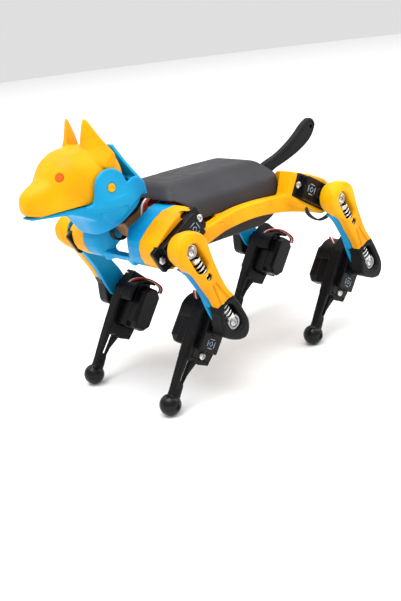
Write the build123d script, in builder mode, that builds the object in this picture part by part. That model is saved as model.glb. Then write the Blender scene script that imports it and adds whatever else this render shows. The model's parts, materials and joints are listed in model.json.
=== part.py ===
"""Desktop quadruped robot dog: servo-driven legs, panning head, clip-on back cover.

Frame: +X forwards, +Y to the dog's left, +Z up, origin on the ground under the middle of the body.
Body stations are measured from mid-wheelbase, which lies body_x from the origin.
"""
from build123d import *
from math import cos, radians, sin
import os

os.makedirs("parts", exist_ok=True)

# ---- driving dimensions, mm and degrees ----
hip_pitch = 105.0           # front hip axis to rear hip axis
body_x = -7.3               # mid-wheelbase, from the origin
thigh_length = 45.9         # hip axis to knee axis
thigh_lean = 26.8           # thigh leans back from vertical
shank_length = 47.9         # knee axis to foot centre
shank_lean = 41.95          # shank leans forward from vertical
foot_r = 5.5
foot_y = 32.3               # foot centre, from the middle plane

servo_len = 24.0            # servo case along its long side
servo_w = 12.4
servo_h = 25.0              # inner end to the face round the shaft
shaft_inset = 6.2           # shaft axis from the near end of the case
ear_len = 33.0              # over both ears
ear_t = 2.4
ear_face = 21.5             # outer face of the ears above the inner end
screw_near = 8.2            # ear screws either side of the shaft
screw_far = 20.3
boss_r = 5.9
boss_h = 1.0
spline_r = 2.4
spline_h = 3.5
screw_r = 0.95              # ear screws
screw_gap = 0.05
run_gap = 0.05              # radial clearance of running fits

servo_base_y = 14.5         # inner end of the hip and knee servos
ear_y = servo_base_y + ear_face
case_y = servo_base_y + servo_h
thigh_y = 41.0              # inner face of the thighs
thigh_outer_y = 51.5
shell_split_y = 45.5        # blue inner shell below, yellow outer shell above
front_servo_tilt = 151.0    # long axis of the front hip servos, from +X
rear_servo_tilt = 30.0
knee_servo_turn = -6.6      # knee servo's long axis against the shank

neck_tilt = 30.0            # pan axis leans forward from vertical
block_in_y = 8.0            # shoulder blocks: inboard face
block_split_y = 23.0        # blue inside, yellow outside

hip_z = (thigh_length * cos(radians(thigh_lean)) + shank_length * cos(radians(shank_lean))
         + foot_r)
thigh_angle = 270.0 - thigh_lean    # direction from hip to knee, from +X
shank_angle = shank_lean - 90.0

legs = [("front_left", 1, hip_pitch / 2, front_servo_tilt),
        ("front_right", -1, hip_pitch / 2, front_servo_tilt),
        ("rear_left", 1, -hip_pitch / 2, rear_servo_tilt),
        ("rear_right", -1, -hip_pitch / 2, rear_servo_tilt)]


# ---- planes ----
def side_plane(x=0.0, z=0.0, y=0.0, angle=0.0):
    """Plane facing -Y at body station x, its x axis turned up from +X by angle."""
    turn = radians(angle)
    return Plane(origin=(body_x + x, y, z), x_dir=(cos(turn), 0, sin(turn)), z_dir=(0, -1, 0))


def servo_plane(x, z, side, angle):
    """Plane at a servo's inner end, facing outwards, its x axis along the case."""
    turn = radians(angle)
    return Plane(origin=(body_x + x, side * servo_base_y, z),
                 x_dir=(cos(turn), 0, sin(turn)), z_dir=(0, side, 0))


def knee_at(hip_x):
    """Body station and height of the knee axis under a hip."""
    turn = radians(thigh_angle)
    return hip_x + thigh_length * cos(turn), hip_z + thigh_length * sin(turn)


def write(builder, label):
    """Label a finished piece and write its STEP file."""
    builder.part.label = label
    export_step(builder.part, f"parts/{label}.step")


# ---- servo ----
def build_servo(plane):
    """Micro servo: case, two screw ears, gear boss and splined shaft, in the open builder."""
    middle = servo_len / 2 - shaft_inset
    with BuildSketch(plane) as case:
        with Locations((middle, 0)):
            RectangleRounded(servo_len, servo_w, 0.8)
    extrude(case.sketch, amount=servo_h)
    with BuildSketch(plane.offset(ear_face - ear_t)) as ears:
        with Locations((middle, 0)):
            Rectangle(ear_len, servo_w)
        with Locations((-screw_near, 0), (screw_far, 0)):
            Circle(screw_r + screw_gap, mode=Mode.SUBTRACT)
    extrude(ears.sketch, amount=ear_t)
    with BuildSketch(plane.offset(servo_h)) as boss:
        Circle(boss_r)
        with Locations((boss_r + 1.2, 0)):
            Circle(2.6)
    extrude(boss.sketch, amount=boss_h)
    with BuildSketch(plane.offset(servo_h + boss_h)) as spline:
        Circle(spline_r)
    extrude(spline.sketch, amount=spline_h)


def build_ear_screws(plane, places):
    """Two pan-head screws with cross recesses, through the ears, in the open builder."""
    head_r = 1.9
    head_h = 1.3
    shank_h = 8.0
    with BuildSketch(plane.offset(ear_face)) as heads:
        with Locations(*places):
            Circle(head_r)
    extrude(heads.sketch, amount=head_h, taper=18)
    with BuildSketch(plane.offset(ear_face + head_h)) as recesses:
        with Locations(*places):
            Rectangle(2.0, 0.5)
            Rectangle(0.5, 2.0)
    extrude(recesses.sketch, amount=-0.6, mode=Mode.SUBTRACT)
    with BuildSketch(plane.offset(ear_face)) as shanks:
        with Locations(*places):
            Circle(screw_r)
    extrude(shanks.sketch, amount=-shank_h)


ear_places = [(-screw_near, 0), (screw_far, 0)]


# ---- chest: blue blocks and yellow shells share one shoulder profile ----
def shoulder_profile():
    """Side outline of a shoulder block, in the open sketch."""
    with BuildLine() as outline:
        Polyline((57.0, 72.3), (53.5, 71.5), (29.0, 85.1), (33.5, 94.5), (37.5, 97.8),
                 (46.0, 97.2), (57.0, 90.2), (62.0, 85.4))
        Spline((62.0, 85.4), (62.2, 78.5), (57.0, 72.3))
    make_face(outline.edges())


def cut_servo_window(hip_x, side, tilt, y_from, y_to):
    """Cut the case window and the ear seat of a hip servo out of the open part."""
    plane = servo_plane(hip_x, hip_z, side, tilt)
    middle = servo_len / 2 - shaft_inset
    with BuildSketch(plane.offset(y_from - servo_base_y)) as window:
        with Locations((middle, 0)):
            Rectangle(servo_len, servo_w)
        with Locations(*ear_places):
            Circle(screw_r)
    extrude(window.sketch, amount=y_to - y_from, mode=Mode.SUBTRACT)
    ear_from = ear_y - ear_t
    if y_to > ear_from:
        with BuildSketch(plane.offset(ear_from - servo_base_y)) as seat:
            with Locations((middle, 0)):
                Rectangle(ear_len, servo_w)
        extrude(seat.sketch, amount=y_to - ear_from, mode=Mode.SUBTRACT)


front_x = hip_pitch / 2
bridge_y = 2 * block_in_y
with BuildPart() as chest_frame:
    for side in (1, -1):
        with BuildSketch(side_plane(y=side * block_in_y)):
            shoulder_profile()
        extrude(amount=-side * (block_split_y - block_in_y))
    for side in (1, -1):
        cut_servo_window(front_x, side, front_servo_tilt, servo_base_y, block_split_y)
    # windows for the hip servo leads
    with BuildSketch(side_plane(y=block_in_y + 12.0)):
        with Locations((40.9, 93.1)):
            Rectangle(5.0, 4.6)
    extrude(amount=2 * (block_in_y + 12.0), mode=Mode.SUBTRACT)
    # lower bridge and the seat bar that carries the neck post
    with BuildSketch(side_plane(y=block_in_y)):
        with BuildLine():
            Polyline((49.0, 74.2), (57.2, 72.5), (57.6, 75.3), (49.5, 77.0), close=True)
        make_face()
        with BuildLine():
            Polyline((33.0, 88.0), (46.0, 80.5), (48.2, 84.2), (35.2, 91.7), close=True)
        make_face()
    extrude(amount=bridge_y)
write(chest_frame, "chest_frame")

shell_lip_h = case_y - ear_y
with BuildPart() as shoulder_shells:
    for side in (1, -1):
        with BuildSketch(side_plane(y=side * block_split_y)):
            shoulder_profile()
        extrude(amount=-side * (ear_y - block_split_y))
        # lip that wraps the servo case between its ears
        with BuildSketch(servo_plane(front_x, hip_z, side, front_servo_tilt).offset(ear_face)):
            with Locations((6.2, side * (servo_w / 2 + 0.9))):
                Rectangle(19.0, 1.8)
        extrude(amount=shell_lip_h)
        cut_servo_window(front_x, side, front_servo_tilt, block_split_y, case_y + 1)
write(shoulder_shells, "shoulder_shells")

# ---- body frame: arched side beams, rear servo housings, cross members, floor ----
rear_x = -hip_pitch / 2
beam_in_y = 27.2
beam_out_y = 33.5
floor_z = 80.5
floor_t = 2.0
with BuildPart() as body_frame:
    for side in (1, -1):
        with BuildSketch(side_plane(y=side * beam_in_y)):
            with BuildLine():
                Spline((33.0, 75.6), (12.5, 81.0), (-6.0, 81.9), (-26.0, 79.6), (-44.0, 75.2))
                Line((-44.0, 75.2), (-40.0, 86.5))
                Spline((-40.0, 86.5), (-26.0, 88.4), (-6.0, 89.6), (9.0, 89.0), (25.0, 86.0))
                Line((25.0, 86.0), (28.6, 85.0))
                Line((28.6, 85.0), (38.6, 79.6))
                Line((38.6, 79.6), (33.0, 75.6))
            make_face()
        extrude(amount=-side * (beam_out_y - beam_in_y))
    for side in (1, -1):
        rear_plane = side_plane(x=rear_x, z=hip_z, y=side * 20.0, angle=rear_servo_tilt)
        with BuildSketch(rear_plane):
            with BuildLine():
                Line((-1.0, -9.0), (24.5, -9.0))
                Line((24.5, -9.0), (26.8, 5.2))
                Line((26.8, 5.2), (13.0, 8.3))
                Line((13.0, 8.3), (1.0, 9.8))
                ThreePointArc((1.0, 9.8), (-11.4, 0.5), (-1.0, -9.0))
            make_face()
        extrude(amount=-side * (ear_y - 20.0))
    # room for the back cover between the housings
    with BuildSketch(Plane((body_x + 2.0, 0, 87.0))):
        Rectangle(74.4, 2 * (beam_in_y - 0.3))
    extrude(amount=30.0, mode=Mode.SUBTRACT)
    # cross members, floor and battery rail
    with BuildSketch(side_plane(y=beam_in_y)):
        with BuildLine():
            Polyline((-47.0, 80.5), (-38.0, 80.5), (-38.0, 91.5), (-47.0, 91.5), close=True)
        make_face()
        with BuildLine():
            Polyline((19.0, 80.5), (25.0, 80.5), (25.0, 84.5), (19.0, 84.5), close=True)
        make_face()
    extrude(amount=2 * beam_in_y)
    with BuildSketch(Plane((body_x - 9.5, 0, floor_z))):
        Rectangle(61.0, 2 * beam_in_y)
    extrude(amount=floor_t)
    with BuildSketch(Plane((body_x - 9.0, 0, floor_z - 2.0))):
        Rectangle(56.0, 6.0)
    extrude(amount=2.0)
    with BuildSketch(Plane((body_x - 9.0, 0, floor_z - 3.8))):
        Rectangle(56.0, 12.0)
    extrude(amount=1.8)
    # slot and screw hole for the tail's root
    with BuildSketch(Plane((body_x - 43.5, 0, 84.0))):
        Rectangle(5.0, 4.4)
    extrude(amount=8.0, mode=Mode.SUBTRACT)
    # ledges that the back cover stands on
    with BuildSketch(Plane((body_x - 2.0, 0, 83.0))):
        with GridLocations(30.0, 2 * beam_in_y - 3.2, 2, 2):
            Rectangle(6.0, 3.4)
    extrude(amount=5.0)
    # board pillars
    with BuildSketch(Plane((body_x - 2.5, 0, floor_z + floor_t))):
        with GridLocations(48.0, 32.0, 2, 2):
            Circle(2.2)
    extrude(amount=8.5)
    for side in (1, -1):
        cut_servo_window(rear_x, side, rear_servo_tilt, servo_base_y, ear_y + 0.1)
    # keep the beams' front ends off the shoulder blocks
    with BuildSketch(side_plane(y=40.0)):
        shoulder_profile()
    extrude(amount=80.0, mode=Mode.SUBTRACT)
write(body_frame, "body_frame")

with BuildPart() as hip_servos:
    for name, side, hip_x, tilt in legs:
        build_servo(servo_plane(hip_x, hip_z, side, tilt))
write(hip_servos, "hip_servos")

board_z = floor_z + floor_t + 8.5
board_screws = [(body_x - 26.5, -16.0), (body_x - 26.5, 16.0), (body_x + 21.5, -16.0),
                (body_x + 21.5, 16.0)]
with BuildPart() as body_screws:
    for name, side, hip_x, tilt in legs:
        build_ear_screws(servo_plane(hip_x, hip_z, side, tilt), ear_places)
    with BuildSketch(Plane((0, 0, board_z + 1.6))):
        with Locations(*board_screws):
            Circle(2.0)
    extrude(amount=1.4)
write(body_screws, "body_screws")

# ---- main board with its soldered parts ----
board_top = board_z + 1.6
header_x = 24.6             # lead headers near both ends of the board
header_h = 5.4
header_w = 4.4
with BuildPart() as main_board:
    with BuildSketch(Plane((body_x - 2.5, 0, board_z))):
        RectangleRounded(54.0, 38.0, 2.5)
    extrude(amount=1.6)
    with BuildSketch(Plane((body_x - 2.5, 0, board_top))):
        with Locations((-header_x + header_w / 2, 0), (header_x - header_w / 2, 0)):
            Rectangle(header_w, 24.0)
    extrude(amount=header_h)
    with BuildSketch(Plane((body_x - 2.5, 0, board_top))):
        with Locations((5.0, -4.0)):
            Rectangle(18.0, 18.0)
    extrude(amount=3.0)
    with BuildSketch(Plane((body_x - 2.5, 0, board_top))):
        with GridLocations(7.0, 5.0, 2, 3):
            Rectangle(4.5, 3.0)
    extrude(amount=1.4)
write(main_board, "main_board")

# ---- tail ----
with BuildPart() as tail:
    with BuildSketch(side_plane(y=2.2)):
        with BuildLine():
            Line((-45.8, 84.2), (-45.8, 91.5))
            Spline((-45.8, 91.5), (-54.8, 94.9), (-65.5, 97.7), (-76.5, 101.5), (-85.2, 106.4),
                   (-90.2, 112.7))
            ThreePointArc((-90.2, 112.7), (-89.0, 116.6), (-83.6, 117.0))
            Spline((-83.6, 117.0), (-79.2, 114.6), (-73.3, 110.4), (-65.5, 106.0), (-57.5, 102.6),
                   (-47.0, 99.6), (-41.3, 96.6))
            Line((-41.3, 96.6), (-41.3, 84.2))
            Line((-41.3, 84.2), (-45.8, 84.2))
        make_face()
        with Locations((-86.0, 112.9)):
            Circle(1.1, mode=Mode.SUBTRACT)
    extrude(amount=4.4)
write(tail, "tail")

# ---- hip servo leads: three wires side by side, from each servo's inner end to the board ----
wire_r = 0.5
wire_pitch = 1.1
lead_side_y = 6.8           # the front leads run down the chest gap
front_exit = (40.9, servo_base_y, 92.0)
rear_exit = (-41.0, servo_base_y, 92.1)
lead_rise = 2.4             # from the servo end up to the header


def lead_wires(exit_point, inner_y, end_x, side):
    """Three wires that turn from a servo's inner end towards the board, in the open part."""
    x, y, z = exit_point
    for wire in range(3):
        height = z + wire * wire_pitch
        with BuildLine() as route:
            FilletPolyline((body_x + x, side * y, height), (body_x + x, side * inner_y, height),
                           (body_x + end_x, side * inner_y, height + lead_rise), radius=2.0)
        start = Plane(origin=route.line @ 0, z_dir=route.line % 0)
        with BuildSketch(start) as section:
            Circle(wire_r)
        sweep(section.sketch, path=route.line)


with BuildPart() as servo_leads:
    for side in (1, -1):
        lead_wires(front_exit, lead_side_y, header_x - 2.3, side)
        lead_wires(rear_exit, 9.0, -header_x - 2.7, side)
write(servo_leads, "servo_leads")


# ---- back cover ----
def cover_sections(wall):
    """Sections of the cover's hip-roof solid, from the rim up, drawn in by the wall."""
    sections = []
    for x, z, length, width in cover_stations:
        with BuildSketch(Plane((body_x + x, 0, z - (wall if z > 100 else 0)))) as section:
            RectangleRounded(length - 2 * wall, width - 2 * wall, cover_corner - wall)
        sections.append(section.sketch)
    return sections


cover_wall = 1.6
cover_corner = 6.0
cover_stations = [(3.7, 88.0, 76.6, 52.6), (3.4, 97.0, 75.6, 51.0), (3.0, 104.4, 61.0, 29.0),
                  (4.0, 106.8, 49.0, 20.0)]
with BuildPart() as back_cover:
    loft(cover_sections(0.0), ruled=True)
    loft(cover_sections(cover_wall), ruled=True, mode=Mode.SUBTRACT)
    # the front edge rises over the shoulders, the nose clears the neck
    with BuildSketch(side_plane(y=40.0)):
        with BuildLine():
            Polyline((22.0, 80.0), (22.0, 87.2), (27.5, 90.2), (33.0, 96.4), (37.2, 99.6),
                     (44.0, 100.2), (60.0, 100.2), (60.0, 80.0), close=True)
        make_face()
        with BuildLine():
            Polyline((43.6, 98.0), (35.0, 112.9), (60.0, 112.9), (60.0, 98.0), close=True)
        make_face()
    extrude(amount=80.0, mode=Mode.SUBTRACT)
    # notch for the rear leads
    with BuildSketch(Plane((body_x - 34.0, 0, 87.0))):
        Rectangle(4.4, 28.0)
    extrude(amount=10.5, mode=Mode.SUBTRACT)
write(back_cover, "back_cover")

# ---- battery ----
rail_gap = 0.25
with BuildPart() as battery:
    with BuildSketch(side_plane(y=14.0)):
        with BuildLine():
            Line((22.0, 71.5), (22.0, 80.2))
            Line((22.0, 80.2), (-40.5, 80.2))
            Line((-40.5, 80.2), (-40.5, 75.2))
            Spline((-40.5, 75.2), (-33.0, 71.2), (-24.0, 69.8))
            Line((-24.0, 69.8), (19.0, 69.8))
            ThreePointArc((19.0, 69.8), (21.2, 70.3), (22.0, 71.5))
        make_face()
    extrude(amount=28.0)
    with BuildSketch(Plane((body_x, 0, floor_z))):
        Rectangle(100.0, 6.0 + 2 * rail_gap)
    extrude(amount=-2.0 - rail_gap, mode=Mode.SUBTRACT)
    with BuildSketch(Plane((body_x, 0, floor_z - 2.0 + rail_gap))):
        Rectangle(100.0, 12.0 + 2 * rail_gap)
    extrude(amount=-1.8 - 2 * rail_gap, mode=Mode.SUBTRACT)
    # seat of the power button, in the underside
    with BuildSketch(Plane((body_x - 12.0, 0, 69.8))):
        Circle(2.6 + 0.1)
    extrude(amount=2.6, mode=Mode.SUBTRACT)
write(battery, "battery")

with BuildPart() as battery_button:
    with BuildSketch(Plane((body_x - 12.0, 0, 69.9))):
        Circle(2.6)
    extrude(amount=1.4)
write(battery_button, "battery_button")

# ---- head ----
pin_x = 69.3
pin_z = 113.0
pin_r = 2.1
cheek_in_y = 17.0
cheek_out_y = 19.0
lean = radians(neck_tilt)
pan_e = -4.8                # pan axis along the forward-down direction across the neck
rim_s = 117.4               # neck rim plane, measured along the pan axis


def neck_point(e, s):
    """Body station and height of a point e across and s along the tilted neck axis."""
    return cos(lean) * e + sin(lean) * s, -sin(lean) * e + cos(lean) * s


def neck_plane(e, s, up=1):
    """Plane square to the neck axis, facing up or down it, its x axis in the middle plane."""
    x, z = neck_point(e, s)
    return Plane(origin=(body_x + x, 0, z), x_dir=(up * cos(lean), 0, -up * sin(lean)),
                 z_dir=(up * sin(lean), 0, up * cos(lean)))


servo_end_s = rim_s + ear_face - ear_t      # the ears lie against the rim from below
with BuildPart() as neck_servo:
    head_down = neck_plane(pan_e, servo_end_s, -1)
    build_servo(Plane(origin=head_down.origin, x_dir=-head_down.x_dir, z_dir=head_down.z_dir))
write(neck_servo, "neck_servo")

spline_end_s = servo_end_s - servo_h - boss_h - spline_h
with BuildPart() as neck_horn:
    # post between the shoulder blocks, then the horn disc that takes the spline
    with BuildSketch(neck_plane(-4.0, 98.0)):
        RectangleRounded(14.0, 11.0, 1.0)
    extrude(amount=spline_end_s - 98.0)
    with BuildSketch(neck_plane(pan_e, spline_end_s)):
        Circle(5.2)
    extrude(amount=3.0)
    with BuildSketch(neck_plane(pan_e, spline_end_s)):
        Circle(spline_r + run_gap)
    extrude(amount=3.0, mode=Mode.SUBTRACT)
    with BuildSketch(side_plane(y=20.0)):
        with BuildLine():
            Polyline((33.0, 88.0), (46.0, 80.5), (48.2, 84.2), (35.2, 91.7), close=True)
        make_face()
    extrude(amount=40.0, mode=Mode.SUBTRACT)
write(neck_horn, "neck_horn")

with BuildPart() as jaw:
    # two cheeks: a disc round the pin, running down and back to the neck rim
    for side in (1, -1):
        with BuildSketch(side_plane(y=side * cheek_in_y)):
            with BuildLine():
                Polyline(neck_point(-9.0, rim_s), (51.0, 108.8), (52.0, 113.0), (55.8, 114.8),
                         (60.0, 113.8), (pin_x, pin_z + 8.4), (pin_x + 8.4, pin_z), (78.0, 107.3),
                         (84.0, 107.3), (77.6, 98.2), neck_point(15.0, rim_s), close=True)
            make_face()
            with Locations((pin_x, pin_z)):
                Circle(8.7)
            with Locations((pin_x, pin_z)):
                Circle(pin_r + run_gap, mode=Mode.SUBTRACT)
        extrude(amount=-side * (cheek_out_y - cheek_in_y))
    # neck floor with the servo's window
    with BuildSketch(neck_plane(0.0, rim_s)):
        with Locations((2.2, 0)):
            RectangleRounded(31.0, 2 * cheek_in_y, 5.0)
        with Locations((servo_len / 2 - shaft_inset + pan_e, 0)):
            Rectangle(servo_len, servo_w, mode=Mode.SUBTRACT)
    extrude(amount=2.0)
    # front wall and chin
    with BuildSketch(side_plane(y=cheek_in_y)):
        with BuildLine():
            Polyline(neck_point(14.0, rim_s), neck_point(18.6, rim_s), (80.6, 102.6),
                     (84.0, 104.4), (84.0, 107.3), (80.0, 107.3), (75.2, 99.0), close=True)
        make_face()
    extrude(amount=2 * cheek_in_y)
    with BuildSketch(Plane((body_x + 82.0, 0, 104.4))):
        with BuildLine():
            Polyline((0, -15.0), (6.5, -10.5), (13.5, -6.0), (13.5, 6.0), (6.5, 10.5), (0, 15.0),
                     close=True)
        make_face()
    extrude(amount=1.6)
    # strut rising behind the skull, wide between the cheeks and narrow at its top
    strut = Plane(origin=(body_x + 50.0, 0, 109.0), x_dir=(0, -1, 0), z_dir=(-0.99, 0, 0.17))
    with BuildSketch(strut):
        with BuildLine():
            Polyline((-cheek_in_y, -1.5), (-cheek_in_y, 4.4), (-2.2, 20.2), (2.2, 20.2),
                     (cheek_in_y, 4.4), (cheek_in_y, -1.5), close=True)
        make_face()
    extrude(amount=-1.7)
    # room for the neck servo's case
    with BuildSketch(neck_plane(0.0, rim_s)):
        with Locations((servo_len / 2 - shaft_inset + pan_e, 0)):
            Rectangle(servo_len, servo_w)
    extrude(amount=servo_h, mode=Mode.SUBTRACT)
write(jaw, "jaw")


def skull_sections(wall, stations):
    """Elliptical cross-sections of the skull, drawn in by the wall."""
    sections = []
    for station, low, high, half_width in stations:
        middle = (low + high) / 2
        plane = Plane(origin=(body_x + station, 0, middle), x_dir=(0, 1, 0), z_dir=(1, 0, 0))
        with BuildSketch(plane) as section:
            Ellipse(half_width - wall, (high - low) / 2 - wall)
        sections.append(section.sketch)
    return sections


skull_wall = 1.8
skull_stations = [(56.6, 103.0, 124.8, 10.5), (60.5, 98.0, 129.8, 14.4), (71.0, 95.0, 132.4, 16.5),
                  (81.0, 96.8, 131.9, 16.0), (87.0, 98.6, 129.4, 14.2), (91.8, 99.8, 124.4, 11.8),
                  (96.5, 101.2, 120.2, 8.6), (106.0, 106.5, 115.2, 3.8)]
with BuildPart() as skull:
    loft(skull_sections(0.0, skull_stations))
    loft(skull_sections(skull_wall, skull_stations[:-1]), mode=Mode.SUBTRACT)
    # open underside, and the back rim that clears the neck servo
    with BuildSketch(side_plane(y=30.0)):
        with BuildLine():
            Polyline((40.0, 80.0), (40.0, 122.0), (56.0, 122.0), (60.0, 107.7), (84.5, 107.7),
                     (96.2, 106.3), (99.0, 105.2), (110.0, 105.2), (110.0, 80.0), close=True)
        make_face()
    extrude(amount=60.0, mode=Mode.SUBTRACT)
    # ears
    for side in (1, -1):
        with BuildSketch(side_plane(y=side * 3.8)):
            with BuildLine():
                Polyline((76.0, 129.5), (72.6, 141.0), (70.6, 144.2), (67.6, 140.8), (63.0, 132.0),
                         (62.6, 127.0), close=True)
            make_face()
        extrude(amount=-side * 6.0)
    # bosses that reach the cheeks, with the pin bores
    for side in (1, -1):
        with BuildSketch(side_plane(x=pin_x, z=pin_z, y=side * 13.0)):
            Circle(4.6)
        extrude(amount=-side * (cheek_in_y - 0.3 - 13.0))
        with BuildSketch(side_plane(x=pin_x, z=pin_z, y=side * 12.0)):
            Circle(pin_r)
        extrude(amount=-side * 8.0, mode=Mode.SUBTRACT)
write(skull, "skull")

with BuildPart() as head_pins:
    for side in (1, -1):
        with BuildSketch(side_plane(x=pin_x, z=pin_z, y=side * 13.2)):
            Circle(pin_r)
        extrude(amount=-side * (cheek_out_y + 0.6 - 13.2))
write(head_pins, "head_pins")


# ---- legs ----
slot_r = 4.0                # hip slot in the yellow shell
slot_t = 10.0
window_r = 3.9              # knee window in the black end
slider_r = 3.7
slider_travel = 2.5
hub_r = 7.2
tongue_y = 43.0             # floor of the spring channel
channel_w = 2.65            # half width of the spring channel
channel_top_y = 48.3
spring_r = 2.4
spring_from = 5.1
spring_gap = 0.1            # spring end to slider
slider_body = 4.4           # knee axis to the slider's flat end
slider_bore_y = 43.3


def thigh_plane(hip_x, y):
    """Thigh frame: x from hip to knee, y to the front, facing -Y."""
    return side_plane(x=hip_x, z=hip_z, y=y, angle=thigh_angle)


def shank_plane(hip_x, y):
    """Shank frame: x from knee to foot, y to the front, facing -Y."""
    knee_x, knee_z = knee_at(hip_x)
    return side_plane(x=knee_x, z=knee_z, y=y, angle=shank_angle)


def obround(radius, start, end):
    """Slot along the leg's x axis, in the open sketch."""
    with Locations(((start + end) / 2, 0)):
        SlotCenterToCenter(end - start, 2 * radius)


def thigh_rear():
    """Rear edge of the thigh, hip dome to knee end."""
    Spline((0.0, -9.2), (8.0, -7.6), (21.0, -5.9), (27.6, -5.8), (34.0, -7.0),
           tangents=[(1, 0), (1, -0.12)])


def build_thigh_outer(name, side, hip_x):
    with BuildPart() as thigh_outer:
        with BuildSketch(thigh_plane(hip_x, side * shell_split_y)):
            with BuildLine():
                thigh_rear()
                Line((34.0, -7.0), (33.0, -3.7))
                Line((33.0, -3.7), (32.0, 4.4))
                Spline((32.0, 4.4), (20.0, 4.7), (10.9, 5.4), (5.0, 8.0), (0.0, 9.2))
                ThreePointArc((0.0, 9.2), (-9.2, 0.0), (0.0, -9.2))
            make_face()
        extrude(amount=-side * (thigh_outer_y - shell_split_y))
        # dome skirt round the blue shell's hub
        with BuildSketch(thigh_plane(hip_x, side * thigh_y)):
            with BuildLine():
                ThreePointArc((0.0, 9.2), (-9.2, 0.0), (0.0, -9.2))
                Line((0.0, -9.2), (6.0, -8.2))
                Line((6.0, -8.2), (6.0, 7.6))
                Line((6.0, 7.6), (0.0, 9.2))
            make_face()
            Circle(hub_r, mode=Mode.SUBTRACT)
            with Locations((5.0, 0)):
                Rectangle(10.0, 2 * 5.4, mode=Mode.SUBTRACT)
        extrude(amount=-side * (shell_split_y - thigh_y))
        with BuildSketch(thigh_plane(hip_x, side * thigh_y)):
            obround(slot_r, 0.0, slot_t)
            with Locations((17.2, 0)):
                Circle(1.4)
        extrude(amount=-side * (thigh_outer_y - thigh_y), mode=Mode.SUBTRACT)
        # spring channel
        with BuildSketch(thigh_plane(hip_x, side * shell_split_y)):
            with Locations((20.0, 0)):
                Rectangle(32.0, 2 * channel_w)
        extrude(amount=-side * (channel_top_y - shell_split_y), mode=Mode.SUBTRACT)
        # shallow groove above the knee end
        with BuildSketch(thigh_plane(hip_x, side * (thigh_outer_y - 0.6))):
            with BuildLine():
                Polyline((22.0, -1.4), (22.0, 0.4), (32.0, 2.6), (32.0, -2.6), close=True)
            make_face()
        extrude(amount=-side, mode=Mode.SUBTRACT)
    write(thigh_outer, f"thigh_outer_{name}")


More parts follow.
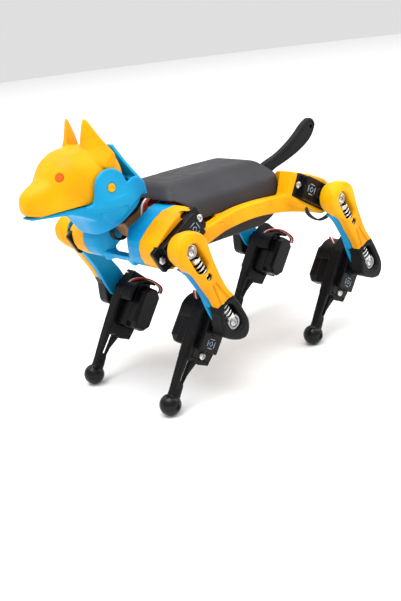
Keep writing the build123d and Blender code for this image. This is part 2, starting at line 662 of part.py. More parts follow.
def build_leg(name, side, hip_x):
    """All pieces of one leg."""
    knee_x, knee_z = knee_at(hip_x)
    build_thigh_outer(name, side, hip_x)

    with BuildPart() as thigh_inner:
        with BuildSketch(thigh_plane(hip_x, side * thigh_y)):
            Circle(hub_r)
            with BuildLine():
                Polyline((0.0, -5.3), (6.2, -5.3), (6.2, -7.4), (21.0, -5.9), (27.6, -5.8),
                         (34.0, -6.9), (46.0, -6.6), (49.0, 0.0), (47.7, 3.6), (42.0, 5.8),
                         (32.0, 4.9), (22.4, 4.0), (12.0, 5.0), (6.2, 6.8), (6.2, 5.3),
                         (0.0, 5.3), close=True)
            make_face()
        extrude(amount=-side * (shell_split_y - thigh_y))
        # spring channel, and the recess that takes the knee end
        with BuildSketch(thigh_plane(hip_x, side * tongue_y)):
            with Locations((22.0, 0)):
                Rectangle(34.6, 2 * channel_w)
            with Locations((45.0, 0)):
                Rectangle(26.0, 30.0)
        extrude(amount=-side * 5.0, mode=Mode.SUBTRACT)
        with BuildSketch(thigh_plane(hip_x, side * thigh_y)):
            Circle(spline_r + run_gap)
            obround(spline_r + 0.7, thigh_length - slider_travel - 0.5, thigh_length + 8.0)
        extrude(amount=-side * (spline_h + 0.2), mode=Mode.SUBTRACT)
    write(thigh_inner, f"thigh_inner_{name}")

    with BuildPart() as knee_end:
        with BuildSketch(thigh_plane(hip_x, side * tongue_y)):
            with BuildLine():
                Polyline((32.1, 4.4), (33.1, -3.7), (34.1, -6.9), (43.3, -7.2), (50.5, -7.0),
                         (55.0, -4.4), (56.6, -1.0), (53.6, 4.4), (49.6, 7.6), (45.6, 9.4),
                         (41.0, 7.6), (36.0, 4.9), close=True)
            make_face()
            obround(window_r, 38.5, thigh_length)
        extrude(amount=-side * (thigh_outer_y - 0.3 - tongue_y))
        with BuildSketch(thigh_plane(hip_x, side * tongue_y)):
            obround(window_r, 38.5, thigh_length)
        extrude(amount=-side * 10.0, mode=Mode.SUBTRACT)
        with BuildSketch(thigh_plane(hip_x, side * tongue_y)):
            with Locations((35.0, 0)):
                Rectangle(8.0, 2 * channel_w)
        extrude(amount=-side * (channel_top_y - tongue_y), mode=Mode.SUBTRACT)
    write(knee_end, f"knee_end_{name}")

    with BuildPart() as hip_screw:
        with BuildSketch(thigh_plane(hip_x, side * shell_split_y)):
            Circle(3.4)
        extrude(amount=-side * 0.8)
        with BuildSketch(thigh_plane(hip_x, side * (shell_split_y + 0.8))):
            Circle(2.5)
        extrude(amount=-side * 1.8, taper=12)
    write(hip_screw, f"hip_screw_{name}")

    with BuildPart() as thigh_spring:
        spring_plane = thigh_plane(hip_x, side * (tongue_y + 0.2 + spring_r))
        across = Plane(origin=spring_plane.origin + spring_plane.x_dir * spring_from,
                       z_dir=spring_plane.x_dir)
        with BuildSketch(across):
            Circle(spring_r)
            Circle(spring_r - 0.6, mode=Mode.SUBTRACT)
        extrude(amount=thigh_length - slider_body - spring_gap - spring_from)
    write(thigh_spring, f"thigh_spring_{name}")

    with BuildPart() as knee_slider:
        with BuildSketch(thigh_plane(hip_x, side * slider_bore_y)):
            with Locations((thigh_length, 0)):
                Circle(slider_r)
            with Locations((thigh_length - slider_body / 2, 0)):
                Rectangle(slider_body, 2 * slider_r)
        extrude(amount=-side * 6.0)
        with BuildSketch(thigh_plane(hip_x, side * slider_bore_y)):
            with Locations((thigh_length, 0)):
                Circle(spline_r + run_gap)
        extrude(amount=-side * 0.8, mode=Mode.SUBTRACT)
        with BuildSketch(thigh_plane(hip_x, side * 46.0)):
            with Locations((thigh_length, 0)):
                Circle(1.0)
        extrude(amount=-side * 4.0, mode=Mode.SUBTRACT)
    write(knee_slider, f"knee_slider_{name}")

    with BuildPart() as knee_screw:
        with BuildSketch(thigh_plane(hip_x, side * 49.3)):
            with Locations((thigh_length, 0)):
                Circle(2.3)
        extrude(amount=-side * 1.3, taper=12)
        with BuildSketch(thigh_plane(hip_x, side * 46.0)):
            with Locations((thigh_length, 0)):
                Circle(1.0)
        extrude(amount=-side * 3.3)
    write(knee_screw, f"knee_screw_{name}")

    servo_at = servo_plane(knee_x, knee_z, side, shank_angle + knee_servo_turn)
    with BuildPart() as knee_servo:
        build_servo(servo_at)
    write(knee_servo, f"knee_servo_{name}")

    with BuildPart() as shank_screws:
        build_ear_screws(servo_at, ear_places)
    write(shank_screws, f"shank_screws_{name}")

    shank_in_y = 28.5
    tip_u = shank_length - 2.0
    with BuildPart() as shank:
        with BuildSketch(shank_plane(hip_x, side * shank_in_y)):
            with BuildLine():
                Line((0.0, 9.6), (18.0, 7.4))
                Line((18.0, 7.4), (26.0, 6.2))
                Line((26.0, 6.2), (tip_u, 2.0))
                Line((tip_u, 2.0), (tip_u, -1.6))
                Line((tip_u, -1.6), (38.0, -1.2))
                Line((38.0, -1.2), (25.5, -3.4))
                Line((25.5, -3.4), (23.0, -9.6))
                Line((23.0, -9.6), (10.0, -10.2))
                Line((10.0, -10.2), (0.0, -9.6))
                Line((0.0, -9.6), (-11.6, -6.2))
                Line((-11.6, -6.2), (-11.6, 7.4))
                Line((-11.6, 7.4), (0.0, 9.6))
            make_face()
            # slit between the front strip and the back bar
            with Locations((30.0, 1.6)):
                SlotOverall(11.0, 1.8, rotation=-6)
        extrude(amount=-side * (ear_y - shank_in_y))
        with BuildSketch(shank_plane(hip_x, side * shank_in_y)):
            with Locations((30.0, 1.6)):
                SlotOverall(11.0, 1.8, rotation=-6)
        extrude(amount=-side * 10.0, mode=Mode.SUBTRACT)
        # hood over the lead at the knee end of the servo
        with BuildSketch(shank_plane(hip_x, side * 20.0)):
            with BuildLine():
                ThreePointArc((6.0, 9.6), (-8.3, 7.6), (-10.6, -3.0))
                Line((-10.6, -3.0), (-9.0, -2.6))
                ThreePointArc((-9.0, -2.6), (-7.1, 6.4), (6.0, 8.2))
                Line((6.0, 8.2), (6.0, 9.6))
            make_face()
        extrude(amount=-side * (shank_in_y - 20.0))
        with BuildSketch(servo_at.offset(20.0 - servo_base_y)):
            with Locations((servo_len / 2 - shaft_inset, 0)):
                Rectangle(servo_len, servo_w)
        extrude(amount=20.0, mode=Mode.SUBTRACT)
        with BuildSketch(servo_at.offset(ear_face - ear_t)):
            with Locations((servo_len / 2 - shaft_inset, 0)):
                Rectangle(ear_len, servo_w)
        extrude(amount=5.0, mode=Mode.SUBTRACT)
        with BuildSketch(servo_at.offset(ear_face - ear_t)):
            with Locations(*ear_places):
                Circle(screw_r)
        extrude(amount=-8.0, mode=Mode.SUBTRACT)
    write(shank, f"shank_{name}")

    foot_plane = shank_plane(hip_x, side * foot_y)
    with BuildPart() as foot:
        centre = foot_plane.origin + foot_plane.x_dir * shank_length
        with Locations(centre):
            Sphere(foot_r)
        with BuildSketch(shank_plane(hip_x, side * shank_in_y)):
            with BuildLine():
                Polyline((26.0, 6.2), (tip_u, 2.0), (tip_u, -1.6), (38.0, -1.2), (26.0, -3.3),
                         close=True)
            make_face()
        extrude(amount=-side * (ear_y - shank_in_y), mode=Mode.SUBTRACT)
    write(foot, f"foot_{name}")


for name, side, hip_x, tilt in legs:
    build_leg(name, side, hip_x)
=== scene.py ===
"""Desktop robot dog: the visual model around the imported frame.

Printed and moulded pieces are meshed from distance fields, so edges are rounded and joins blend
as in moulded plastic. Fields are written in millimetres, with X measured from mid-wheelbase.
"""
import json
import math
import bpy
import bmesh
import numpy as np
import openvdb
from mathutils import Matrix, Vector

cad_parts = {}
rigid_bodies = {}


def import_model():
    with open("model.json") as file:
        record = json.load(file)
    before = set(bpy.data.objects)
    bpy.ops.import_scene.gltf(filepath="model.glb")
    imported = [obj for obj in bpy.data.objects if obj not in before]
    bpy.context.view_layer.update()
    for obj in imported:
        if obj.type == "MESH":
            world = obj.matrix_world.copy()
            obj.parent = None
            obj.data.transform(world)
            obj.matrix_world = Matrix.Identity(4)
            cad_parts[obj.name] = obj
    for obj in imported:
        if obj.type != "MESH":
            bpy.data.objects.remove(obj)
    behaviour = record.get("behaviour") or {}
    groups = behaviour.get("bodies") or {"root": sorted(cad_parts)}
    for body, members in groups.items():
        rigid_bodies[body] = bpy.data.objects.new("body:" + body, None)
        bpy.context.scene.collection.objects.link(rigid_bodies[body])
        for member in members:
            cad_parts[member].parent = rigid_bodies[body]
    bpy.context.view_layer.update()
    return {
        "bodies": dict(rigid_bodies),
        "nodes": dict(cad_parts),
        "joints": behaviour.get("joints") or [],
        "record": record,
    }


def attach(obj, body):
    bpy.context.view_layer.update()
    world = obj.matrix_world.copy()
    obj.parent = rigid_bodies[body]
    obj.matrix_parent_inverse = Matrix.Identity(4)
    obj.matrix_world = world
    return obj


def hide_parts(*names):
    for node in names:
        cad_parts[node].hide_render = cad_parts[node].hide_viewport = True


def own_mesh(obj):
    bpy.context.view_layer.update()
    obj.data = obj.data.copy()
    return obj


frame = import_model()
nodes = frame["nodes"]

MM = 0.001
BODY_X = -7.3               # mid-wheelbase, from the origin
HIP_X = 52.5
HIP_Z = 82.095
THIGH_LEN = 45.9
THIGH_ANGLE = math.radians(243.2)
SHANK_LEN = 47.9
SHANK_ANGLE = math.radians(-48.05)
SERVO_TURN = math.radians(-6.6)
SERVO_Y = 14.5
FRONT_TILT = math.radians(151.0)
REAR_TILT = math.radians(30.0)
NECK_LEAN = math.radians(30.0)
PAN_E = -4.8
RIM_S = 117.4
NECK_SERVO_S = 136.5
PIN = (69.3, 113.0)
LEGS = [("front_left", 1, HIP_X, FRONT_TILT), ("front_right", -1, HIP_X, FRONT_TILT),
        ("rear_left", 1, -HIP_X, REAR_TILT), ("rear_right", -1, -HIP_X, REAR_TILT)]


# ---------------------------------------------------------------- distance fields
class Grid:
    """Sample points of a field, as three broadcast axes in millimetres."""

    def __init__(self, low, high, step):
        self.low = np.array(low, dtype=np.float32)
        self.step = step
        counts = [int(math.ceil((b - a) / step)) + 1 for a, b in zip(low, high)]
        x, y, z = [self.low[i] + step * np.arange(counts[i], dtype=np.float32) for i in range(3)]
        self.x = x[:, None, None]
        self.y = y[None, :, None]
        self.z = z[None, None, :]
        self.shape = tuple(counts)


def join(a, b, k=0.0):
    """Union of two fields, blended over k."""
    if k <= 0:
        return np.minimum(a, b)
    h = np.clip(0.5 + 0.5 * (b - a) / k, 0, 1)
    return b * (1 - h) + a * h - k * h * (1 - h)


def meet(a, b, k=0.0):
    """Intersection of two fields, rounded over k."""
    return -join(-a, -b, k)


def cut(a, b, k=0.0):
    """Field a with field b taken out."""
    return -join(-a, b, k)


def outline(p, q, points):
    """Signed distance to a closed outline in the plane of the broadcast axes p and q."""
    points = np.array(points, dtype=np.float32)
    nearest = None
    inside = None
    for a, b in zip(points, np.roll(points, -1, axis=0)):
        edge = b - a
        t = np.clip(((p - a[0]) * edge[0] + (q - a[1]) * edge[1]) / max(float(edge @ edge), 1e-9),
                    0, 1)
        gap = (p - a[0] - t * edge[0]) ** 2 + (q - a[1] - t * edge[1]) ** 2
        above = (a[1] > q) != (b[1] > q)
        rise = edge[1] if abs(edge[1]) > 1e-9 else 1e-9
        crossing = above & (p < a[0] + (q - a[1]) * edge[0] / rise)
        nearest = gap if nearest is None else np.minimum(nearest, gap)
        inside = crossing if inside is None else inside ^ crossing
    return np.where(inside, -1, 1) * np.sqrt(nearest)


def smooth_line(points, closed=True, steps=8):
    """Catmull-Rom curve through the points."""
    points = [np.array(p, dtype=float) for p in points]
    n = len(points)
    result = []
    for i in range(n if closed else n - 1):
        a = points[(i - 1) % n] if closed else points[max(i - 1, 0)]
        b = points[i]
        c = points[(i + 1) % n]
        d = points[(i + 2) % n] if closed else points[min(i + 2, n - 1)]
        for j in range(steps):
            t = j / steps
            result.append(0.5 * (2 * b + (c - a) * t + (2 * a - 5 * b + 4 * c - d) * t * t
                                 + (3 * b - a - 3 * c + d) * t ** 3))
    if not closed:
        result.append(points[-1])
    return result


def slab(q, low, high):
    """Field of the space between two parallel planes."""
    return np.abs(q - (low + high) / 2) - (high - low) / 2


def prism(flat, across, r=0.5):
    """An outline's field carried through a slab, with edges rounded to r."""
    a = flat + r
    b = across + r
    return (np.minimum(np.maximum(a, b), 0)
            + np.sqrt(np.maximum(a, 0) ** 2 + np.maximum(b, 0) ** 2) - r)


def block(p, q, centre, size, r=0.0, turn=0.0):
    """Rounded rectangle in a plane, turned about its centre."""
    c, s = math.cos(turn), math.sin(turn)
    a = (p - centre[0]) * c + (q - centre[1]) * s
    b = -(p - centre[0]) * s + (q - centre[1]) * c
    return prism(np.abs(a) - size[0] / 2, np.abs(b) - size[1] / 2, r)


def disc(p, q, centre, r):
    return np.hypot(p - centre[0], q - centre[1]) - r


def obround(p, q, a, b, r):
    """Slot from a to b along p, at q = 0."""
    return np.hypot(p - np.clip(p, a, b), q) - r


def ball(g, centre, r):
    return np.sqrt((g.x - centre[0]) ** 2 + (g.y - centre[1]) ** 2 + (g.z - centre[2]) ** 2) - r


def rod(g, a, b, ra, rb):
    """Round rod from a to b, its radius going from ra to rb."""
    a = np.array(a, dtype=np.float32)
    b = np.array(b, dtype=np.float32)
    d = b - a
    t = np.clip(((g.x - a[0]) * d[0] + (g.y - a[1]) * d[1] + (g.z - a[2]) * d[2]) / float(d @ d),
                0, 1)
    gap = np.sqrt((g.x - a[0] - t * d[0]) ** 2 + (g.y - a[1] - t * d[1]) ** 2
                  + (g.z - a[2] - t * d[2]) ** 2)
    return gap - (ra + (rb - ra) * t)


def table_line(q, stations, column):
    """Smooth value of one column of a station table, read at q."""
    keys = [s[0] for s in stations]
    values = [s[column] for s in stations]
    fine = np.linspace(keys[0], keys[-1], 161)
    coarse = np.interp(fine, keys, values)
    kernel = np.hanning(13)
    kernel /= kernel.sum()
    padded = np.concatenate([2 * coarse[0] - coarse[6:0:-1], coarse,
                             2 * coarse[-1] - coarse[-2:-8:-1]])
    return np.interp(q, fine, np.convolve(padded, kernel, mode="valid")).astype(np.float32)


def mesh_data(name, g, field, shift=(0, 0, 0)):
    """Mesh of a field's surface, in metres."""
    grid = openvdb.FloatGrid(float(4 * g.step))
    grid.copyFromArray(np.array(np.broadcast_to(field, g.shape), dtype=np.float32, order="C"))
    points, triangles, quads = grid.convertToPolygons(isovalue=0.0, adaptivity=0.0)
    verts = (points * g.step + g.low + np.array(shift)) * MM
    faces = [tuple(int(i) for i in f) for f in quads] + [tuple(int(i) for i in f)
                                                         for f in triangles]
    return plain_mesh(name, verts, faces)


def plain_mesh(name, verts, faces):
    """Mesh with outward faces and smooth shading."""
    mesh = bpy.data.meshes.new(name)
    mesh.from_pydata([tuple(v) for v in verts], [], faces)
    bm = bmesh.new()
    bm.from_mesh(mesh)
    bmesh.ops.recalc_face_normals(bm, faces=bm.faces)
    for face in bm.faces:
        face.smooth = True
    bm.to_mesh(mesh)
    bm.free()
    return mesh


def moved(mesh, matrix):
    """Copy of a mesh carried by a matrix, its faces still outward if the matrix mirrors."""
    mesh = mesh.copy()
    mesh.transform(matrix)
    if matrix.determinant() < 0:
        mesh.flip_normals()
    return mesh


def placed(name, mesh, material, body, matrix=None, replaces=()):
    """A piece made from a mesh, carried by a matrix into the row frame."""
    if matrix is not None:
        mesh = moved(mesh, matrix)
    mesh.name = name
    piece = bpy.data.objects.new(name, mesh)
    bpy.context.scene.collection.objects.link(piece)
    piece.data.materials.clear()
    piece.data.materials.append(material)
    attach(piece, body)
    if replaces:
        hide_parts(*replaces)
    return piece


def basis(origin, x_axis, y_axis, z_axis):
    """Matrix from a local frame in metres, its origin given in millimetres from mid-wheelbase."""
    at = ((origin[0] + BODY_X) * MM, origin[1] * MM, origin[2] * MM)
    return Matrix([(x_axis[i], y_axis[i], z_axis[i], at[i]) for i in range(3)] + [(0, 0, 0, 1)])


def turned(origin, angle, side):
    """Side-view frame: x turned up from +X by angle, y outwards."""
    c, s = math.cos(angle), math.sin(angle)
    return basis(origin, (c, 0, s), (0, side, 0), (-s, 0, c))


def knee_of(hip_x):
    return (hip_x + THIGH_LEN * math.cos(THIGH_ANGLE), HIP_Z + THIGH_LEN * math.sin(THIGH_ANGLE))


def thigh_frame(hip_x, side):
    c, s = math.cos(THIGH_ANGLE), math.sin(THIGH_ANGLE)
    return basis((hip_x, 0, HIP_Z), (c, 0, s), (0, side, 0), (-s, 0, c))


def shank_frame(hip_x, side):
    x, z = knee_of(hip_x)
    c, s = math.cos(SHANK_ANGLE), math.sin(SHANK_ANGLE)
    return basis((x, 0, z), (c, 0, s), (0, side, 0), (-s, 0, c))


def neck_xz(e, s):
    return (math.cos(NECK_LEAN) * e + math.sin(NECK_LEAN) * s,
            -math.sin(NECK_LEAN) * e + math.cos(NECK_LEAN) * s)


def neck_frame(e, s, up):
    """Frame at a neck point: x along e, y up or down the pan axis."""
    x, z = neck_xz(e, s)
    c, n = math.cos(NECK_LEAN), math.sin(NECK_LEAN)
    return basis((x, 0, z), (c, 0, -n), (up * n, 0, up * c), (0, 1, 0))


# ---------------------------------------------------------------- materials
def new_material(name):
    material = bpy.data.materials.new(name)
    material.use_nodes = True
    tree = material.node_tree
    tree.nodes.clear()
    out = tree.nodes.new("ShaderNodeOutputMaterial")
    shader = tree.nodes.new("ShaderNodeBsdfPrincipled")
    tree.links.new(shader.outputs[0], out.inputs[0])
    coords = tree.nodes.new("ShaderNodeTexCoord")
    return material, tree, shader, coords


def noise(tree, coords, scale, detail=3.0, rough=0.55, stretch=(1, 1, 1)):
    mapping = tree.nodes.new("ShaderNodeMapping")
    mapping.inputs["Scale"].default_value = stretch
    tree.links.new(coords.outputs["Object"], mapping.inputs["Vector"])
    node = tree.nodes.new("ShaderNodeTexNoise")
    node.inputs["Scale"].default_value = scale
    node.inputs["Detail"].default_value = detail
    node.inputs["Roughness"].default_value = rough
    tree.links.new(mapping.outputs[0], node.inputs["Vector"])
    return node.outputs["Fac"]


def ramp(tree, source, stops):
    node = tree.nodes.new("ShaderNodeValToRGB")
    points = node.color_ramp.elements
    points[0].position, points[0].color = stops[0][0], (*stops[0][1], 1)
    points[1].position, points[1].color = stops[-1][0], (*stops[-1][1], 1)
    for at, colour in stops[1:-1]:
        points.new(at).color = (*colour, 1)
    tree.links.new(source, node.inputs[0])
    return node.outputs[0]


def spread(tree, source, low, high, from_low=0.3, from_high=0.7):
    node = tree.nodes.new("ShaderNodeMapRange")
    node.inputs["From Min"].default_value = from_low
    node.inputs["From Max"].default_value = from_high
    node.inputs["To Min"].default_value = low
    node.inputs["To Max"].default_value = high
    tree.links.new(source, node.inputs["Value"])
    return node.outputs[0]


def bump(tree, shader, height, strength, distance, before=None):
    node = tree.nodes.new("ShaderNodeBump")
    node.inputs["Strength"].default_value = strength
    node.inputs["Distance"].default_value = distance
    tree.links.new(height, node.inputs["Height"])
    if before is not None:
        tree.links.new(before, node.inputs["Normal"])
    tree.links.new(node.outputs[0], shader.inputs["Normal"])
    return node.outputs[0]


def mixed(tree, a, b, amount):
    node = tree.nodes.new("ShaderNodeMix")
    node.data_type = "RGBA"
    tree.links.new(amount, node.inputs[0])
    tree.links.new(a, node.inputs[6])
    tree.links.new(b, node.inputs[7])
    return node.outputs[2]


def plastic(name, dark, middle, light, rough, grain, grain_depth, soft=0.0, coat=0.0, edge=None,
            shine=0.2):
    """Moulded plastic: broad colour drift, fine grain, worn edges."""
    material, tree, shader, coords = new_material(name)
    drift = noise(tree, coords, 34.0, 2.0)
    colour = ramp(tree, drift, [(0.3, dark), (0.5, middle), (0.72, light)])
    if edge is not None:
        geometry = tree.nodes.new("ShaderNodeNewGeometry")
        worn = spread(tree, geometry.outputs["Pointiness"], 0.0, 0.55, 0.52, 0.60)
        paint = tree.nodes.new("ShaderNodeRGB")
        paint.outputs[0].default_value = (*edge, 1)
        colour = mixed(tree, colour, paint.outputs[0], worn)
    tree.links.new(colour, shader.inputs["Base Color"])
    smear = noise(tree, coords, 160.0, 4.0, 0.6)
    tree.links.new(spread(tree, smear, rough - 0.06, rough + 0.08), shader.inputs["Roughness"])
    fine = noise(tree, coords, grain, 2.0, 0.5)
    bump(tree, shader, fine, 0.35, grain_depth)
    shader.inputs["Specular IOR Level"].default_value = shine
    if soft:
        shader.inputs["Subsurface Weight"].default_value = soft
        shader.inputs["Subsurface Radius"].default_value = (0.0012, 0.0006, 0.0003)
        shader.inputs["Subsurface Scale"].default_value = 1.0
    if coat:
        shader.inputs["Coat Weight"].default_value = coat
        shader.inputs["Coat Roughness"].default_value = 0.15
    return material


def metal(name, dark, light, rough, scale=900.0, stretch=(1, 1, 1)):
    material, tree, shader, coords = new_material(name)
    grime = noise(tree, coords, 420.0, 4.0, 0.6)
    tree.links.new(ramp(tree, grime, [(0.32, dark), (0.62, light)]), shader.inputs["Base Color"])
    shader.inputs["Metallic"].default_value = 1.0
    brushed = noise(tree, coords, scale, 3.0, 0.6, stretch)
    tree.links.new(spread(tree, brushed, rough - 0.08, rough + 0.12), shader.inputs["Roughness"])
    bump(tree, shader, brushed, 0.25, 0.00004)
    return material


YELLOW = plastic("yellow_plastic", (0.70, 0.27, 0.001), (0.78, 0.345, 0.001), (0.84, 0.43, 0.002),
                 0.38, 1500.0, 0.00004, soft=0.06, shine=0.12)
BLUE = plastic("blue_plastic", (0.002, 0.20, 0.46), (0.004, 0.285, 0.56), (0.010, 0.36, 0.65),
               0.38, 1500.0, 0.00004, soft=0.03, shine=0.14)
COVER = plastic("cover_plastic", (0.030, 0.029, 0.032), (0.036, 0.035, 0.039),
                (0.044, 0.043, 0.048), 0.45, 2600.0, 0.00006, edge=(0.07, 0.07, 0.075), shine=0.12)
BLACK = plastic("black_print", (0.003, 0.003, 0.0035), (0.005, 0.005, 0.0055),
                (0.009, 0.009, 0.0095), 0.40, 2300.0, 0.00008, edge=(0.03, 0.03, 0.033), shine=0.12)
SERVO = plastic("servo_case", (0.003, 0.003, 0.0035), (0.004, 0.004, 0.005), (0.007, 0.007, 0.008),
                0.28, 1300.0, 0.00002, edge=(0.025, 0.025, 0.028), shine=0.14)
FOOT = plastic("foot_rubber", (0.003, 0.003, 0.003), (0.004, 0.004, 0.004), (0.008, 0.008, 0.008),
               0.22, 1600.0, 0.00002, coat=0.10, shine=0.16)
WASHER = plastic("grey_plastic", (0.40, 0.41, 0.42), (0.50, 0.51, 0.52), (0.60, 0.60, 0.61),
                 0.38, 1500.0, 0.00003)
AMBER = plastic("amber_horn", (0.16, 0.06, 0.02), (0.36, 0.18, 0.08), (0.55, 0.36, 0.21),
                0.24, 900.0, 0.00004, coat=0.3)
EYE = plastic("eye_red", (0.50, 0.075, 0.003), (0.58, 0.10, 0.004), (0.66, 0.13, 0.006),
              0.38, 1500.0, 0.00003)
MARK = plastic("mark_print", (0.20, 0.26, 0.33), (0.28, 0.36, 0.44), (0.36, 0.45, 0.52),
               0.40, 1500.0, 0.00002)
COVER_MARK = plastic("cover_mark", (0.06, 0.06, 0.065), (0.085, 0.085, 0.09), (0.11, 0.11, 0.115),
                     0.36, 1500.0, 0.00002)
BOARD = plastic("circuit_board", (0.004, 0.05, 0.02), (0.006, 0.09, 0.035), (0.012, 0.13, 0.05),
                0.33, 700.0, 0.00003, coat=0.3)
WIRE_RED = plastic("wire_red", (0.30, 0.012, 0.010), (0.42, 0.02, 0.016), (0.52, 0.04, 0.03),
                   0.38, 1500.0, 0.00002)
WIRE_WHITE = plastic("wire_white", (0.62, 0.55, 0.50), (0.74, 0.69, 0.65), (0.84, 0.81, 0.78),
                     0.40, 1500.0, 0.00002)
WIRE_BROWN = plastic("wire_brown", (0.045, 0.014, 0.008), (0.07, 0.022, 0.012), (0.10, 0.035, 0.02),
                     0.38, 1500.0, 0.00002)
WIRE_BLACK = plastic("wire_black", (0.006, 0.006, 0.006), (0.010, 0.010, 0.010),
                     (0.02, 0.02, 0.02), 0.30, 1500.0, 0.00002)
STEEL = metal("screw_steel", (0.30, 0.29, 0.27), (0.66, 0.64, 0.60), 0.28)
SPRING = metal("spring_wire", (0.42, 0.42, 0.41), (0.80, 0.79, 0.76), 0.22)


# ---------------------------------------------------------------- small parts
def lathe(name, profile, segments=40):
    """Round mesh about local y, from (radius, height) points in millimetres."""
    verts = []
    faces = []
    rings = len(profile)
    for r, h in profile:
        for i in range(segments):
            a = 2 * math.pi * i / segments
            verts.append((r * math.cos(a) * MM, h * MM, r * math.sin(a) * MM))
    for k in range(rings - 1):
        for i in range(segments):
            j = (i + 1) % segments
            faces.append((k * segments + i, k * segments + j, (k + 1) * segments + j,
                          (k + 1) * segments + i))
    faces.append(tuple(range(segments)))
    faces.append(tuple(range((rings - 1) * segments, rings * segments)))
    return plain_mesh(name, verts, faces)


def joined(name, meshes):
    """One mesh from several."""
    bm = bmesh.new()
    for mesh in meshes:
        bm.from_mesh(mesh)
    result = bpy.data.meshes.new(name)
    bm.to_mesh(result)
    bm.free()
    return result


def tube(name, path, radius, segments=12):
    """Round tube along points in metres, radius in metres."""
    points = [Vector(p) for p in path]
    verts = []
    faces = []
    side = None
    for i, p in enumerate(points):
        ahead = points[min(i + 1, len(points) - 1)] - points[max(i - 1, 0)]
        ahead.normalize()
        if side is None:
            side = ahead.orthogonal().normalized()
        side = (side - ahead * side.dot(ahead)).normalized()
        other = ahead.cross(side)
        for k in range(segments):
            a = 2 * math.pi * k / segments
            verts.append(p + (side * math.cos(a) + other * math.sin(a)) * radius)
    for i in range(len(points) - 1):
        for k in range(segments):
            j = (k + 1) % segments
            faces.append((i * segments + k, i * segments + j, (i + 1) * segments + j,
                          (i + 1) * segments + k))
    faces.append(tuple(range(segments)))
    faces.append(tuple(range((len(points) - 1) * segments, len(points) * segments)))
    return plain_mesh(name, verts, faces)


def screw_mesh(name, head_r, head_h):
    """Pan-head screw with a cross recess, its head standing on local y = 0."""
    g = Grid((-head_r - 0.3, -0.9, -head_r - 0.3), (head_r + 0.3, head_h + 0.3, head_r + 0.3), 0.07)
    flat = disc(g.x, g.z, (0, 0), head_r)
    head = prism(flat, slab(g.y, -0.6, head_h), 0.25)
    dome = np.sqrt(g.x ** 2 + (g.y + head_r * 1.15) ** 2 + g.z ** 2) - (head_h + head_r * 1.15)
    head = meet(head, dome, 0.15)
    arm = 0.62 * head_r
    cross = join(block(g.x, g.z, (0, 0), (2 * arm, 0.42)), block(g.x, g.z, (0, 0), (0.42, 2 * arm)))
    cone = np.hypot(g.x, g.z) - (arm - (head_h - g.y) * 0.55)
    recess = meet(meet(cross, cone, 0.1), -(g.y - head_h + 0.85))
    return mesh_data(name, g, cut(head, recess, 0.12))


EAR_SCREW = screw_mesh("ear_screw_mesh", 1.9, 1.25)
HIP_SCREW = screw_mesh("hip_screw_mesh", 2.3, 1.5)


# micro servo: middle of the case from the shaft, screw holes, ear and case heights
CASE_MID = 5.8
EAR_HOLES = (-8.2, 20.3)
EAR_TOP = 21.5
CASE_TOP = 25.0


def servo_mesh(faceted):
    """Micro servo about its shaft: x along the case, y up from the inner end, z across."""
    g = Grid((-11.6, -0.8, -7.2), (24.2, 30.2, 7.2), 0.2)
    flat = block(g.x, g.z, (CASE_MID, 0), (24.0, 12.4), 0.9)
    if faceted:
        corners = (np.abs(g.x - CASE_MID) + np.abs(g.z)) * math.sqrt(0.5) - 10.2
        lid = meet(flat + 0.35, corners, 0.3) + np.clip((1.6 - g.y) * 0.6, 0, 1.0)
        case = join(prism(lid, slab(g.y, 0, 8.0), 0.4), prism(flat, slab(g.y, 6.2, CASE_TOP), 0.5))
    else:
        case = prism(flat, slab(g.y, 0, CASE_TOP), 0.5)
    for seam in (6.0, 19.0):
        groove = np.maximum(np.abs(g.y - seam) - 0.16, -(flat + 0.22))
        case = cut(case, groove, 0.1)
    ears = prism(block(g.x, g.z, (CASE_MID, 0), (33.0, 12.4), 1.4), slab(g.y, 19.1, EAR_TOP), 0.35)
    for x in EAR_HOLES:
        ears = cut(ears, disc(g.x, g.z, (x, 0), 1.0))
    rib = prism(block(g.x, g.z, (CASE_MID, 0), (31.0, 1.2), 0.3), slab(g.y, 17.8, 19.4), 0.2)
    body = join(join(case, ears, 0.25), rib, 0.2)
    boss = join(prism(disc(g.x, g.z, (0, 0), 5.9), slab(g.y, 20, 26.0), 0.4),
                prism(disc(g.x, g.z, (7.1, 0), 2.6), slab(g.y, 20, 26.0), 0.4), 0.3)
    teeth = 0.14 * np.cos(21 * np.arctan2(g.z, g.x))
    spline = prism(np.hypot(g.x, g.z) - 2.25 - teeth, slab(g.y, 24, 29.4), 0.1)
    body = join(body, join(boss, spline, 0.1), 0.1)
    corner = prism(disc(np.abs(g.x - CASE_MID) - 10.2, np.abs(g.z) - 4.4, (0, 0), 0.75),
                   slab(g.y, -1, 0.6), 0.1)
    return mesh_data("servo_mesh", g, cut(body, corner, 0.1))


SERVO_MESH = servo_mesh(False)
SERVO_FACETED = servo_mesh(True)


def at_local(matrix, x, y, z):
    """A frame moved to a local point given in millimetres."""
    return matrix @ Matrix.Translation((x * MM, y * MM, z * MM))


def helix(length, radius, wire, turns, steps=26):
    """Points of a coil along local x, its end turns closed up."""
    count = int(turns * steps)
    points = []
    for i in range(count + 1):
        f = i / count
        ends = 0.10
        if f < ends:
            travel = 0.35 * f
        elif f > 1 - ends:
            travel = 1 - 0.35 * (1 - f)
        else:
            travel = 0.035 + (f - ends) / (1 - 2 * ends) * 0.93
        a = 2 * math.pi * turns * f
        points.append(((wire + travel * (length - 2 * wire)) * MM, radius * math.cos(a) * MM,
                       radius * math.sin(a) * MM))
    return points


